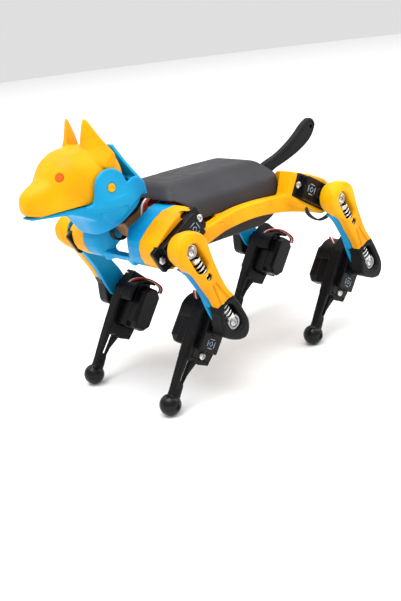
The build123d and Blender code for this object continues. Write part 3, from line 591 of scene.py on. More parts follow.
def ribbon(name, path, across, body, matrix, wires=None, radius=0.5):
    """Wires side by side along a smooth path in local millimetres."""
    smooth = [np.array(p) for p in smooth_line(path, closed=False, steps=10)]
    across = np.array(across, dtype=float)
    wires = wires or (WIRE_RED, WIRE_WHITE, WIRE_BROWN)
    for i, material in enumerate(wires):
        offset = (i - (len(wires) - 1) / 2) * radius * 2.05 * across
        points = [tuple((p + offset) * MM) for p in smooth]
        placed(f"{name}_{i}", tube(name, points, radius * MM, 10), material, body, matrix)


def stroke(name, frame_matrix, lines, width, height, material, body):
    """Thin raised lines on a local x-z face at y = 0: generic printed marks."""
    verts = []
    faces = []
    for line in lines:
        points = [np.array(p, dtype=float) for p in line]
        base = len(verts)
        for i, p in enumerate(points):
            ahead = points[min(i + 1, len(points) - 1)] - points[max(i - 1, 0)]
            ahead = ahead / max(np.linalg.norm(ahead), 1e-6)
            out = np.array((-ahead[1], ahead[0])) * width / 2
            for lift, sign in ((0, 1), (height, 1), (height, -1), (0, -1)):
                q = p + out * sign
                verts.append((q[0] * MM, lift * MM, q[1] * MM))
        for i in range(len(points) - 1):
            for k in range(4):
                j = (k + 1) % 4
                faces.append((base + 4 * i + k, base + 4 * i + j, base + 4 * i + 4 + j,
                              base + 4 * i + 4 + k))
        faces.append(tuple(base + k for k in range(4)))
        faces.append(tuple(base + 4 * (len(points) - 1) + k for k in range(4)))
    return placed(name, plain_mesh(name, verts, faces), material, body, frame_matrix)


def badge(cx, cz, size):
    """Generic mark: a square frame, open at its corners, round a small diamond."""
    half, gap = 0.5 * size, 0.16 * size
    frame = [[(cx - half + gap, cz + sign * half), (cx + half - gap, cz + sign * half)]
             for sign in (-1, 1)]
    frame += [[(cx + sign * half, cz - half + gap), (cx + sign * half, cz + half - gap)]
              for sign in (-1, 1)]
    core = 0.26 * size
    diamond = [(cx, cz - core), (cx + core, cz), (cx, cz + core), (cx - core, cz), (cx, cz - core)]
    return frame + [diamond]


# ---------------------------------------------------------------- chest and shoulders
SHOULDER = [(57.0, 72.3), (53.5, 71.5), (41.0, 78.1), (29.0, 85.1), (33.5, 94.5), (37.5, 97.8),
            (46.0, 97.2), (52.0, 94.0), (57.4, 90.0), (61.4, 86.2), (62.6, 83.0), (62.2, 78.6),
            (60.4, 74.8)]


def servo_window(g, hip_x, tilt, grow, length=24.0):
    """Field of a hip servo's case in the side view."""
    c, s = math.cos(tilt), math.sin(tilt)
    centre = (hip_x + CASE_MID * c, HIP_Z + CASE_MID * s)
    return block(g.x, g.z, centre, (length + grow, 12.4 + grow), 0.5, tilt)


def chest_fields(side):
    """Blue block and yellow shell of one shoulder, on one grid."""
    low = (26.0, 6.0, 69.5) if side > 0 else (26.0, -41.0, 69.5)
    high = (64.5, 41.0, 100.0) if side > 0 else (64.5, -6.0, 100.0)
    g = Grid(low, high, 0.3)
    out = side * g.y
    flat = outline(g.x, g.z, SHOULDER)
    # the block's front falls back towards the neck
    front = table_line(out, [(6.0, 52.0), (8.0, 54.8), (9.5, 57.4), (11.0, 59.6), (13.0, 61.6),
                             (15.0, 62.8), (18.0, 63.6), (42.0, 65.0)], 1)
    flat = meet(flat, g.x - front, 2.0)
    whole = prism(flat + np.clip((out - 30.0) * 0.10, 0, 1.2), slab(out, 8.0, 39.4), 1.5)
    case = servo_window(g, HIP_X, FRONT_TILT, 0.5)
    ears = servo_window(g, HIP_X, FRONT_TILT, 0.5, 33.0)
    inside = np.maximum(case, 15.0 - out)
    seat = np.maximum(ears, 33.4 - out)
    # lead window and the round relief that the neck turns in
    lead = np.maximum(block(g.x, g.z, (40.9, 93.1), (5.0, 4.6), 0.6), out - 20)
    e = math.cos(NECK_LEAN) * g.x - math.sin(NECK_LEAN) * g.z
    relief = np.hypot(e - PAN_E, g.y) - 11.8
    block_blue = cut(np.maximum(whole, out - 23.0), relief, 1.6)
    block_blue = cut(cut(cut(block_blue, inside), lead), seat)
    # the shell's outer lip hugs the case between the ears
    c, s = math.cos(FRONT_TILT), math.sin(FRONT_TILT)
    along = (g.x - HIP_X) * c + (g.z - HIP_Z) * s
    beside = -(g.x - HIP_X) * s + (g.z - HIP_Z) * c
    # open pocket under the servo, behind a thin front wall
    pocket = np.maximum(out - 17.6, 3.4 + np.clip((out - 13.8) * 3.0, 0, 3.6) - beside)
    pocket = np.maximum(pocket, g.x - front + 2.3)
    block_blue = cut(block_blue, pocket, 0.8)
    shell = np.maximum(whole, 23.15 - out)
    tall = np.maximum(out - 36.0, -(np.maximum(np.abs(along - 6.0) - 9.4, -beside)))
    shell = meet(shell, tall, 0.5)
    notch = outline(along, beside, [(14.0, -9.5), (18.6, -6.3), (14.2, -5.4), (12.0, -7.4)])
    shell = cut(shell, np.maximum(notch, 33.0 - out), 0.3)
    shell = cut(cut(shell, inside, 0.1), seat, 0.1)
    return g, block_blue, shell


def build_chest():
    blues = []
    shells = []
    for side in (1, -1):
        g, blue, shell = chest_fields(side)
        blues.append(mesh_data("part", g, blue, (BODY_X, 0, 0)))
        shells.append(mesh_data("part", g, shell, (BODY_X, 0, 0)))
    # lower bridge and seat bar between the blocks
    g = Grid((30.0, -13.0, 69.0), (61.0, 13.0, 95.0), 0.3)
    low_bar = outline(g.x, g.z, [(53.4, 73.6), (57.0, 72.8), (57.7, 75.2), (54.2, 76.0)])
    seat_bar = outline(g.x, g.z, [(33.0, 88.0), (46.0, 80.5), (48.2, 84.2), (35.2, 91.7)])
    # the bridge flares where it meets the blocks
    flare = np.clip(np.abs(g.y) - 5.0, 0, 5.0) * 0.30
    bars = prism(low_bar - flare, slab(g.y, -12.0, 12.0), 0.6)
    bars = join(bars, prism(seat_bar, slab(g.y, -8.4, 8.4), 0.5))
    blues.append(mesh_data("part", g, bars, (BODY_X, 0, 0)))
    placed("chest_blue", joined("chest_blue", blues), BLUE, "chassis",
           replaces=("chest_frame",))
    placed("shoulder_yellow", joined("shoulder_yellow", shells), YELLOW, "chassis",
           replaces=("shoulder_shells",))


build_chest()


# ---------------------------------------------------------------- body frame
BEAM = (smooth_line([(33.0, 75.6), (22.0, 79.0), (12.5, 81.0), (-6.0, 81.9), (-26.0, 79.6),
                     (-44.0, 75.2)], False)
        + [(-40.0, 86.5)]
        + smooth_line([(-33.0, 87.6), (-26.0, 88.4), (-6.0, 89.6), (9.0, 89.0), (25.0, 86.0)],
                      False) + [(28.6, 85.0), (38.6, 79.6)])


def build_frame():
    g = Grid((-68.0, 0.0, 72.5), (40.5, 37.5, 106.0), 0.35)
    beam = prism(outline(g.x, g.z, BEAM), slab(g.y, 27.0, 33.5), 0.9)
    # engraved dashes and corner brackets along the beam
    marks = [((19.0, 85.2), (5.0, 0.5)), ((-9.0, 87.0), (5.0, 0.5)), ((12.4, 85.6), (0.5, 2.6)),
             ((13.6, 84.4), (2.4, 0.5)), ((-16.4, 86.4), (0.5, 2.4)), ((-15.2, 85.4), (2.4, 0.5))]
    for centre, size in marks:
        line = np.maximum(block(g.x, g.z, centre, size, 0.1, math.radians(4)), 33.1 - g.y)
        beam = cut(beam, line, 0.15)
    local = [(-1.0, -9.0), (24.5, -9.0), (26.8, 5.2), (13.0, 8.3), (1.0, 9.8), (-4.5, 8.6),
             (-9.4, 4.6), (-11.2, -0.2), (-9.4, -5.2), (-5.6, -8.0)]
    c, s = math.cos(REAR_TILT), math.sin(REAR_TILT)
    along = (g.x + HIP_X) * c + (g.z - HIP_Z) * s
    beside = -(g.x + HIP_X) * s + (g.z - HIP_Z) * c
    house = prism(outline(along, beside, local), slab(g.y, 20.0, 35.8), 1.7)
    whole = join(beam, house, 1.6)
    room = np.maximum(block(g.x, g.z, (2.0, 102.0), (74.4, 30.0)), g.y - 26.9)
    whole = cut(whole, room)
    floor = prism(block(g.x, g.z, (-9.5, 81.5), (61.0, 2.0)), slab(g.y, -3, 27.4), 0.2)
    rib = prism(block(g.x, g.z, (-42.5, 86.0), (9.0, 11.0)), slab(g.y, -3, 27.4), 0.4)
    fore = prism(block(g.x, g.z, (22.0, 82.5), (6.0, 4.0)), slab(g.y, -3, 27.4), 0.3)
    rail = join(np.maximum(block(g.x, g.z, (-9.0, 79.5), (56.0, 2.6)), g.y - 3.0),
                np.maximum(block(g.x, g.z, (-9.0, 77.6), (56.0, 1.8)), g.y - 6.0))
    whole = join(whole, join(join(floor, rib), join(fore, rail)), 0.4)
    slot = np.maximum(block(g.x, g.z, (-43.5, 90.0), (5.1, 12.0)), g.y - 2.25)
    whole = cut(whole, slot)
    ledge = np.maximum(block(np.abs(g.x + 2.0), g.z, (15.0, 85.5), (6.0, 5.0)),
                       slab(g.y, 23.9, 27.4))
    pillar = np.maximum(np.hypot(np.abs(g.x + 2.5) - 24.0, g.y - 16.0) - 2.2,
                        slab(g.z, 82.0, 91.0))
    whole = join(whole, join(ledge, pillar), 0.3)
    case = servo_window(g, -HIP_X, REAR_TILT, 0.5)
    ears = servo_window(g, -HIP_X, REAR_TILT, 0.5, 33.0)
    whole = cut(whole, np.maximum(case, 14.0 - g.y), 0.2)
    whole = cut(whole, np.maximum(ears, 33.4 - g.y), 0.2)
    # front ends stay clear of the shoulder blocks, the cut face lies in the middle plane
    whole = cut(whole, outline(g.x, g.z, SHOULDER) - 0.1)
    whole = np.maximum(whole, -g.y)
    half = mesh_data("half", g, whole, (BODY_X, 0, 0))
    other = moved(half, Matrix.Scale(-1, 4, (0, 1, 0)))
    placed("body_yellow", joined("body_yellow", [half, other]), YELLOW, "chassis",
           replaces=("body_frame",))


build_frame()


# ---------------------------------------------------------------- tail
def build_tail():
    g = Grid((-93.0, -3.2, 82.5), (-39.0, 3.2, 119.5), 0.25)
    points = ([(-45.8, 84.2), (-45.8, 91.5)]
              + smooth_line([(-45.8, 91.5), (-54.8, 94.9), (-65.5, 97.7), (-76.5, 101.5),
                             (-85.2, 106.4), (-89.8, 112.7), (-89.1, 116.0), (-86.6, 117.7),
                             (-83.6, 117.0), (-79.2, 114.6), (-73.3, 110.4), (-65.5, 106.0),
                             (-57.5, 102.6), (-47.0, 99.6), (-41.3, 96.6)], False)
              + [(-41.3, 84.2)])
    blade = prism(outline(g.x, g.z, points), slab(g.y, -2.2, 2.2), 1.1)
    hollow = np.abs(outline(g.x, g.z, points) + 1.7) - 0.22
    blade = cut(blade, np.maximum(hollow, np.maximum(1.75 - np.abs(g.y), g.x + 50.0)), 0.2)
    blade = cut(blade, disc(g.x, g.z, (-86.0, 112.9), 1.1), 0.5)
    placed("tail_blade", mesh_data("tail", g, blade, (BODY_X, 0, 0)), BLACK, "chassis",
           replaces=("tail",))


build_tail()


# ---------------------------------------------------------------- back cover
def build_cover():
    g = Grid((-37.0, -28.0, 86.0), (44.5, 28.0, 108.0), 0.35)
    lift = np.clip((g.z - 88.0) / 9.0, 0, 1)

    def roof(inset):
        flat = block(g.x, g.y, (3.6, 0), (76.4 - 2 * inset, 52.4 - 2 * inset), 6.5)
        flat = flat + 0.8 * lift
        ax = 0.72
        slope_side = (np.abs(g.y) - 25.4 + inset) * math.sin(ax) + (g.z - 97.4 + inset * 0.2) \
            * math.cos(ax)
        bx = 0.84
        slope_front = (g.x - 41.6 + inset) * math.sin(bx) + (g.z - 98.4) * math.cos(bx)
        cx = 0.86
        slope_back = (-g.x - 34.0 + inset) * math.sin(cx) + (g.z - 97.6) * math.cos(cx)
        top = g.z - 106.75 + inset + 0.012 * np.abs(g.x - 4.0) * (np.abs(g.x - 4.0) > 12)
        sides = meet(flat, slope_side, 2.2)
        ends = meet(slope_front, slope_back, 1.0)
        return meet(meet(sides, ends, 2.6), top, 2.2)

    outer = roof(0.0)
    inner = roof(1.5)
    rim = [(-40.0, 80.0), (-40.0, 87.7), (22.0, 87.7), (27.5, 90.4), (33.0, 96.5), (37.2, 99.4),
           (46.0, 100.0), (46.0, 80.0)]
    below = outline(g.x, g.z, rim)
    shell = cut(outer, inner, 0.2)
    shell = cut(shell, below, 0.9)
    nose = outline(g.x, g.z, [(43.8, 98.0), (35.2, 112.9), (60.0, 112.9), (60.0, 98.0)])
    shell = cut(shell, nose, 0.6)
    leads = np.maximum(block(g.x, g.z, (-34.0, 90.5), (5.0, 12.0), 0.5), np.abs(g.y) - 14.0)
    shell = cut(shell, leads, 0.2)
    placed("cover_shell", mesh_data("cover", g, shell, (BODY_X, 0, 0)), COVER, "cover",
           replaces=("back_cover",))
    lines = badge(0.0, 0.0, 6.0) + badge(9.0, 0.0, 6.0)
    place = basis((12.0, 0.0, 106.72), (-1, 0, 0), (0, 0, 1), (0, 1, 0))
    stroke("cover_mark", place, lines, 0.45, 0.09, COVER_MARK, "cover")


build_cover()


# ---------------------------------------------------------------- head
SKULL = [(55.6, 104.0, 122.0, 10.6), (58.0, 100.0, 127.4, 13.0), (62.0, 97.0, 130.6, 15.2),
         (68.0, 95.2, 132.0, 16.3), (74.0, 95.2, 132.4, 16.6), (80.0, 96.4, 132.1, 16.3),
         (84.0, 97.4, 131.2, 15.6), (88.0, 98.6, 129.0, 14.2), (91.0, 99.4, 125.8, 12.6),
         (94.0, 100.2, 121.6, 10.4), (97.0, 101.0, 119.9, 8.5), (101.0, 103.0, 118.2, 6.6),
         (104.2, 105.2, 116.2, 4.9), (105.2, 106.2, 115.2, 4.0)]


def section_field(g, stations, grow=0.0, power=2.4):
    """Body of oval sections along x."""
    low = table_line(g.x, stations, 1)
    high = table_line(g.x, stations, 2)
    half = table_line(g.x, stations, 3)
    tall = (high - low) / 2
    ratio = (np.abs(g.y / half) ** power + np.abs((g.z - (low + high) / 2) / tall) ** power)
    field = (ratio ** (1 / power) - 1) * np.minimum(half, tall)
    ends = slab(g.x, stations[0][0], stations[-1][0] + 0.7)
    return meet(field - grow, ends - grow, 3.0)


def ear_field(g, side):
    """Leaf-shaped ear set obliquely, its base running down the side of the head."""
    leaf = smooth_line([(74.6, 129.6), (73.4, 135.0), (72.4, 139.6), (71.6, 142.8), (70.8, 144.0),
                        (69.6, 142.8), (67.6, 138.4), (65.4, 133.4), (63.4, 128.4), (63.0, 124.8),
                        (64.4, 121.6), (66.8, 120.4), (69.6, 121.8), (72.6, 125.4)], True, 6)
    flat = outline(g.x, g.z, leaf)
    middle = table_line(g.z, [(116.0, 14.6), (119.0, 14.5), (122.0, 14.0), (125.0, 13.0),
                              (128.0, 11.4), (131.0, 9.8), (135.0, 8.6), (140.0, 8.2),
                              (145.0, 8.0)], 1)
    half = table_line(g.z, [(116.0, 2.6), (126.0, 2.6), (130.0, 2.3), (136.0, 1.8), (141.0, 1.3),
                            (145.0, 0.9)], 1)
    across = (g.x - 69.2) * 0.42 + (side * g.y - middle) * 0.91
    return np.maximum(prism(flat, np.abs(across) - half, 1.1), side * g.y - 16.5)


def build_skull():
    g = Grid((52.5, -19.0, 93.0), (108.4, 19.0, 145.6), 0.35)
    skull = section_field(g, SKULL)
    for side in (1, -1):
        skull = join(skull, ear_field(g, side), 1.0)
        boss = np.maximum(disc(g.x, g.z, PIN, 4.6), slab(side * g.y, 12.0, 16.6))
        skull = join(skull, boss, 0.5)
    inner = section_field(g, SKULL, -1.9)
    inner = np.maximum(inner, g.x - 99.0)
    skull = cut(skull, inner, 0.3)
    low_cut = smooth_line([(60.0, 107.8), (72.0, 107.7), (84.5, 107.5), (91.0, 106.9),
                           (96.4, 106.0), (100.0, 105.4)], False)
    under = outline(g.x, g.z, [(40.0, 80.0), (40.0, 122.0), (56.4, 122.0)] + low_cut
                    + [(103.6, 106.2), (105.2, 107.3), (110.0, 108.0), (110.0, 80.0)])
    skull = cut(skull, under, 0.6)
    # mouth corners and teeth
    for side in (1, -1):
        for x, r in ((101.3, 0.75), (98.6, 0.6)):
            tooth = rod(g, (x, side * (3.4 - (x - 98.6) * 0.25), 106.6),
                        (x + 0.2, side * (3.2 - (x - 98.6) * 0.25), 104.6), r, 0.18)
            skull = join(skull, tooth, 0.3)
        nostril = ball(g, (106.3, side * 1.5, 113.0), 0.55)
        skull = cut(skull, nostril, 0.4)
        socket = ball(g, (90.6, side * 10.6, 121.7), 2.2)
        skull = cut(skull, socket, 0.35)
        pin_hole = np.maximum(disc(g.x, g.z, PIN, 2.12), 11.0 - side * g.y)
        skull = cut(skull, pin_hole, 0.15)
    placed("skull_yellow", mesh_data("skull", g, skull, (BODY_X, 0, 0)), YELLOW, "upper_head",
           replaces=("skull",))
    # eyes: shallow red dishes in the sockets
    for side, word in ((1, "left"), (-1, "right")):
        e = Grid((87.2, side * 10 - 4.0, 118.2), (94.2, side * 10 + 4.0, 125.4), 0.12)
        outer = section_field(e, SKULL)
        dish = np.maximum(ball(e, (90.6, side * 10.6, 121.7), 2.15), outer + 0.5)
        dish = np.maximum(dish, -(outer + 1.7))
        placed(f"eye_{word}", mesh_data("eye", e, dish, (BODY_X, 0, 0)), EYE, "upper_head")
    pins = []
    for side in (1, -1):
        p = lathe("pin", [(0.4, 13.2), (2.05, 13.2), (2.05, 18.9), (1.75, 19.35), (1.0, 19.55),
                          (0.9, 19.3), (0.2, 19.3)], 36)
        pins.append(moved(p, basis((PIN[0], 0, PIN[1]), (1, 0, 0), (0, side, 0), (0, 0, 1))))
    placed("jaw_pins", joined("jaw_pins", pins), YELLOW, "upper_head",
           replaces=("head_pins",))


def build_jaw():
    g = Grid((37.5, -20.5, 88.5), (108.0, 20.5, 133.5), 0.35)
    e = math.cos(NECK_LEAN) * g.x - math.sin(NECK_LEAN) * g.z
    s = math.sin(NECK_LEAN) * g.x + math.cos(NECK_LEAN) * g.z
    wide = np.abs(g.y)
    # neck cup: an oval in the neck frame, open on top, its floor round the servo
    cup = block(e, wide + np.clip((126.0 - s) * 0.15, 0, 1.8), (2.8, 0), (31.6, 37.9), 13.5)
    cup_outer = meet(cup, RIM_S - 4.4 - s, 2.4)
    cup_inner = np.maximum(cup + 1.8, np.minimum(RIM_S + 2.0 - s, s - RIM_S + 0.1))
    top = outline(g.x, g.z, [(40.0, 113.0), (52.0, 113.6), (56.0, 113.4), (60.0, 108.6),
                             (62.0, 107.3), (72.0, 107.2), (84.5, 107.0), (92.0, 106.6),
                             (110.0, 100.0), (110.0, 80.0), (40.0, 80.0)])
    cup_shell = meet(cut(cup_outer, cup_inner, 0.4), top, 0.8)
    # cheek plates with the discs round the pins
    rear_side = outline(g.x, g.z, smooth_line([neck_xz(-8.4, RIM_S + 0.2), (50.7, 107.4),
                                               (50.6, 110.4), (52.0, 113.4), (54.4, 115.2),
                                               (56.8, 115.0), (59.2, 113.9), (61.6, 114.4)],
                                              False, 5)
                        + [(66.0, 118.4), (72.0, 119.6), (78.0, 112.0), (80.0, 107.6),
                           (84.0, 107.2), (84.0, 100.0), neck_xz(19.0, RIM_S + 6.0),
                           neck_xz(12.0, RIM_S + 0.2)])
    side_flat = join(meet(rear_side, RIM_S + 0.4 - s, 2.0), disc(g.x, g.z, PIN, 8.7), 1.2)
    cheek = prism(side_flat, slab(wide, 16.9, 19.0), 0.8)
    cheek = meet(cheek, np.where(e > 2.0, cup, -6.0) - np.clip((g.z - 103.0) * 2.0, 0, 20.0), 0.6)
    # lower jaw tray under the snout
    half = table_line(g.x, [(78.0, 16.6), (84.0, 14.4), (90.0, 10.6), (96.0, 7.4), (101.0, 5.4),
                            (104.6, 3.9)], 1)
    tray_flat = np.maximum(wide - half, slab(g.x, 76.0, 104.4))
    floor_z = table_line(g.x, [(78.0, 99.4), (84.0, 102.6), (88.0, 104.0), (96.0, 104.2),
                               (104.6, 104.5)], 1)
    rim_z = table_line(g.x, [(78.0, 107.0), (84.0, 107.0), (92.0, 106.3), (98.0, 105.6),
                             (104.6, 105.6)], 1)
    tray = prism(tray_flat, np.maximum(floor_z - g.z, g.z - rim_z), 0.8)
    tray_in = np.maximum(wide - half + 1.5, floor_z + 1.3 - g.z)
    tray = cut(tray, np.maximum(tray_in, g.x - 101.5), 0.3)
    tray = cut(tray, cup + 1.8)
    # strut behind the skull, wide where it leaves the cheeks and narrow at its top
    back = outline(g.x, g.z, [(49.4, 106.0), (50.0, 109.5), (53.4, 129.2), (55.1, 129.0),
                              (51.9, 109.5), (51.4, 106.0)])
    taper = table_line(g.z, [(104.0, 19.0), (112.0, 18.6), (115.0, 15.6), (122.0, 8.4),
                             (129.5, 2.3)], 1)
    strut = prism(back, (wide - taper) * 0.76, 0.5)
    whole = join(join(cup_shell, cheek, 2.4), tray, 2.0)
    whole = join(whole, strut, 1.2)
    # window of the neck servo, ear seats, pin bores
    servo = block(e, g.y, (CASE_MID + PAN_E, 0), (24.5, 12.9), 0.5)
    whole = cut(whole, np.maximum(servo, slab(s, 100, 140)), 0.2)
    ears = block(e, g.y, (CASE_MID + PAN_E, 0), (33.8, 13.2), 0.4)
    whole = cut(whole, np.maximum(ears, slab(s, 110, RIM_S)), 0.1)
    whole = cut(whole, np.maximum(disc(g.x, g.z, PIN, 2.15), 15.0 - wide), 0.35)
    whole = meet(whole, 115.2 - s, 0.4)
    placed("jaw_blue", mesh_data("jaw", g, whole, (BODY_X, 0, 0)), BLUE, "head",
           replaces=("jaw",))


def build_neck_parts():
    """Dark ring under the rim of the head, darkening the band below the jaw."""
    collar = lathe("collar", [(2.7, 0.0), (8.1, 0.0), (8.5, 0.4), (8.5, 3.0), (8.1, 3.4),
                              (2.7, 3.4)], 48)
    placed("dark_neck_ring", collar, SERVO, "head", neck_frame(PAN_E, 111.5, -1))


build_skull()
build_jaw()


# ---------------------------------------------------------------- servos and their screws
def hip_frame(hip_x, side, tilt):
    return turned((hip_x, side * SERVO_Y, HIP_Z), tilt, side)


def build_servos():
    hip_meshes = []
    screws = []
    for name, side, hip_x, tilt in LEGS:
        place = hip_frame(hip_x, side, tilt)
        hip_meshes.append(moved(SERVO_MESH, place))
        screws += [moved(EAR_SCREW, at_local(place, x, EAR_TOP, 0)) for x in EAR_HOLES]
        face = at_local(place, 13.2, CASE_TOP, 0)
        stroke(f"servo_mark_{name}", face, badge(0, 0, 5.2), 0.42, 0.05, MARK, "chassis")
    placed("hip_servo_set", joined("hip_servo_set", hip_meshes), SERVO, "chassis",
           replaces=("hip_servos",))
    for x in (-29.0, 19.0):
        for y in (-16.0, 16.0):
            screw = EAR_SCREW.copy()
            screw.transform(basis((x, y, 92.6), (1, 0, 0), (0, 0, 1), (0, 1, 0)))
            screws.append(screw)
    placed("body_screw_set", joined("body_screw_set", screws), STEEL, "chassis",
           replaces=("body_screws",))
    placed("neck_servo_case", SERVO_MESH, SERVO, "head",
           neck_frame(PAN_E, NECK_SERVO_S, -1), replaces=("neck_servo",))


build_servos()


# ---------------------------------------------------------------- legs
THIGH_REAR = smooth_line([(0.0, -9.2), (4.0, -8.5), (8.0, -7.6), (14.0, -6.6), (21.0, -5.9),
                          (27.6, -5.8), (34.0, -7.0)], False)
THIGH_FRONT = smooth_line([(32.0, 4.4), (26.0, 4.2), (20.0, 4.7), (10.9, 5.4), (5.0, 8.0),
                           (0.0, 9.2)], False)
HUB = [(9.2 * math.cos(a), 9.2 * math.sin(a)) for a in np.linspace(math.pi / 2, 1.5 * math.pi, 20)]

COIL_Y = 47.3
COIL_R = 2.75


def coil_room(g):
    """Round channel that the spring lies in."""
    return np.maximum(np.hypot(g.y - COIL_Y, g.z) - 3.35, slab(g.x, 2.0, 38.5))


def thigh_outer_mesh():
    g = Grid((-10.4, 40.4, -10.2), (35.4, 52.2, 10.4), 0.22)
    flat = outline(g.x, g.z, THIGH_REAR + [(33.0, -3.7)] + THIGH_FRONT + HUB[1:-1])
    # the dome narrows towards the inner side
    skirt = flat + np.clip((45.8 - g.y) * 0.32, 0, 1.6)
    skirt = prism(skirt, slab(g.y, 41.0, 47.0), 0.4)
    skirt = np.maximum(skirt, g.x - 6.0)
    skirt = cut(skirt, np.maximum(disc(g.x, g.z, (0, 0), 7.25), g.y - 45.5))
    skirt = cut(skirt, np.maximum(block(g.x, g.z, (6.0, 0), (12.0, 10.8)), g.y - 45.5))
    shell = prism(flat, slab(g.y, 45.55, 51.5), 1.5)
    bevel = (-g.x - 9.2) * 0.6 + (g.y - 51.5) * 0.8 + 2.2 * 0.8
    shell = meet(join(shell, skirt, 0.3), bevel, 0.8)
    slot = np.maximum(obround(g.x, g.z, 0.0, 8.6, 3.9) - np.clip(g.y - 50.4, 0, 1.2) * 0.5,
                      46.2 - g.y)
    shell = cut(shell, slot, 0.5)
    shell = cut(shell, disc(g.x, g.z, (0, 0), 3.0))
    shell = cut(shell, np.maximum(disc(g.x, g.z, (15.4, 0), 1.8), 44.0 - g.y), 0.35)
    for end_z, start_z in ((2.9, 0.9), (-2.7, -1.1)):
        groove = outline(g.x, g.z, [(20.4, start_z - 0.55), (20.4, start_z + 0.35),
                                    (33.5, end_z + 0.6), (33.5, end_z - 0.8)])
        shell = cut(shell, np.maximum(groove, 50.75 - g.y), 0.45)
    shell = cut(shell, coil_room(g))
    return mesh_data("thigh_outer_mesh", g, shell)


def thigh_inner_mesh():
    g = Grid((-8.0, 40.4, -9.0), (50.4, 46.2, 8.4), 0.22)
    flat = outline(g.x, g.z, [(5.8, -5.3), (5.8, -8.2), (8.0, -8.0), (14.0, -7.0), (21.0, -6.3),
                              (27.6, -6.2), (34.0, -7.0), (40.0, -7.1), (46.0, -6.6), (48.6, -3.4),
                              (49.0, 0.0), (47.7, 3.6), (42.0, 5.8), (37.0, 5.7), (32.0, 5.2),
                              (27.0, 4.5), (22.4, 4.3), (15.0, 4.9), (12.0, 5.3), (8.6, 6.4),
                              (5.8, 7.6), (5.8, 5.3)])
    plate = join(prism(flat, slab(g.y, 41.0, 45.5), 0.9),
                 prism(disc(g.x, g.z, (0, 0), 7.1), slab(g.y, 41.0, 45.5), 0.4))
    neck = prism(block(g.x, g.z, (3.4, 0), (7.0, 10.4)), slab(g.y, 41.0, 45.4), 0.2)
    plate = join(plate, neck)
    plate = cut(plate, coil_room(g), 0.1)
    plate = cut(plate, np.maximum(block(g.x, g.z, (45.0, 0), (26.0, 30.0)), 43.0 - g.y), 0.1)
    bore = join(disc(g.x, g.z, (0, 0), 2.45), obround(g.x, g.z, 42.9, 54.0, 3.1))
    plate = cut(plate, np.maximum(bore, g.y - 44.7), 0.1)
    return mesh_data("thigh_inner_mesh", g, plate)


def knee_end_mesh():
    g = Grid((31.2, 42.4, -8.4), (58.0, 52.0, 11.0), 0.2)
    flat = outline(g.x, g.z, smooth_line([(34.1, -6.9), (38.6, -7.3), (43.3, -7.4), (50.5, -7.0),
                                          (55.0, -4.4), (56.6, -1.0), (55.6, 1.8), (53.6, 4.4),
                                          (49.6, 7.8), (45.6, 9.5), (41.0, 7.7), (36.0, 5.0)],
                                         False, 6) + [(32.1, 4.5), (33.1, -3.7)])
    end = prism(flat, slab(g.y, 43.0, 51.2), 1.1)
    window = obround(g.x, g.z, 38.5, 45.9, 3.9) - np.clip(g.y - 50.2, 0, 1.0) * 0.6
    end = cut(end, window, 0.3)
    lip = np.abs(obround(g.x, g.z, 38.5, 45.9, 5.0)) - 0.25
    end = cut(end, np.maximum(lip, 50.85 - g.y), 0.25)
    end = cut(end, coil_room(g), 0.1)
    return mesh_data("knee_end_mesh", g, end)


def trough_mesh():
    """Dark tongue of the knee end that the spring lies on."""
    g = Grid((1.4, 43.4, -4.0), (42.2, 48.0, 4.0), 0.14)
    ring = np.abs(np.hypot(g.y - COIL_Y, g.z) - 3.33) - 0.17
    half_pipe = np.maximum(ring, g.y - COIL_Y + 0.4)
    return mesh_data("trough_mesh", g, np.maximum(half_pipe, slab(g.x, 3.3, 38.9)))


def slider_mesh():
    g = Grid((40.6, 42.9, -4.4), (50.4, 49.9, 4.4), 0.12)
    flat = join(disc(g.x, g.z, (45.9, 0), 3.65), block(g.x, g.z, (44.7, 0), (2.4, 6.6), 0.4))
    pad = prism(flat, slab(g.y, 43.35, 48.6), 0.35)
    rim = meet(flat, -(flat + 0.9), 0.1)
    raised = prism(rim, slab(g.y, 47.0, 49.3), 0.2)
    pad = join(pad, raised, 0.15)
    pad = cut(pad, np.maximum(disc(g.x, g.z, (45.9, 0), 2.45), g.y - 44.1))
    return mesh_data("slider_mesh", g, cut(pad, disc(g.x, g.z, (45.9, 0), 1.05)))


def washer_mesh():
    """Stepped washer in the hip slot."""
    return lathe("washer", [(1.2, 45.6), (3.3, 45.6), (3.5, 45.8), (3.5, 48.9), (3.25, 49.15),
                            (2.8, 49.15), (2.6, 48.95), (1.2, 48.95)], 44)


STRIP_TIP = SHANK_LEN - 2.0


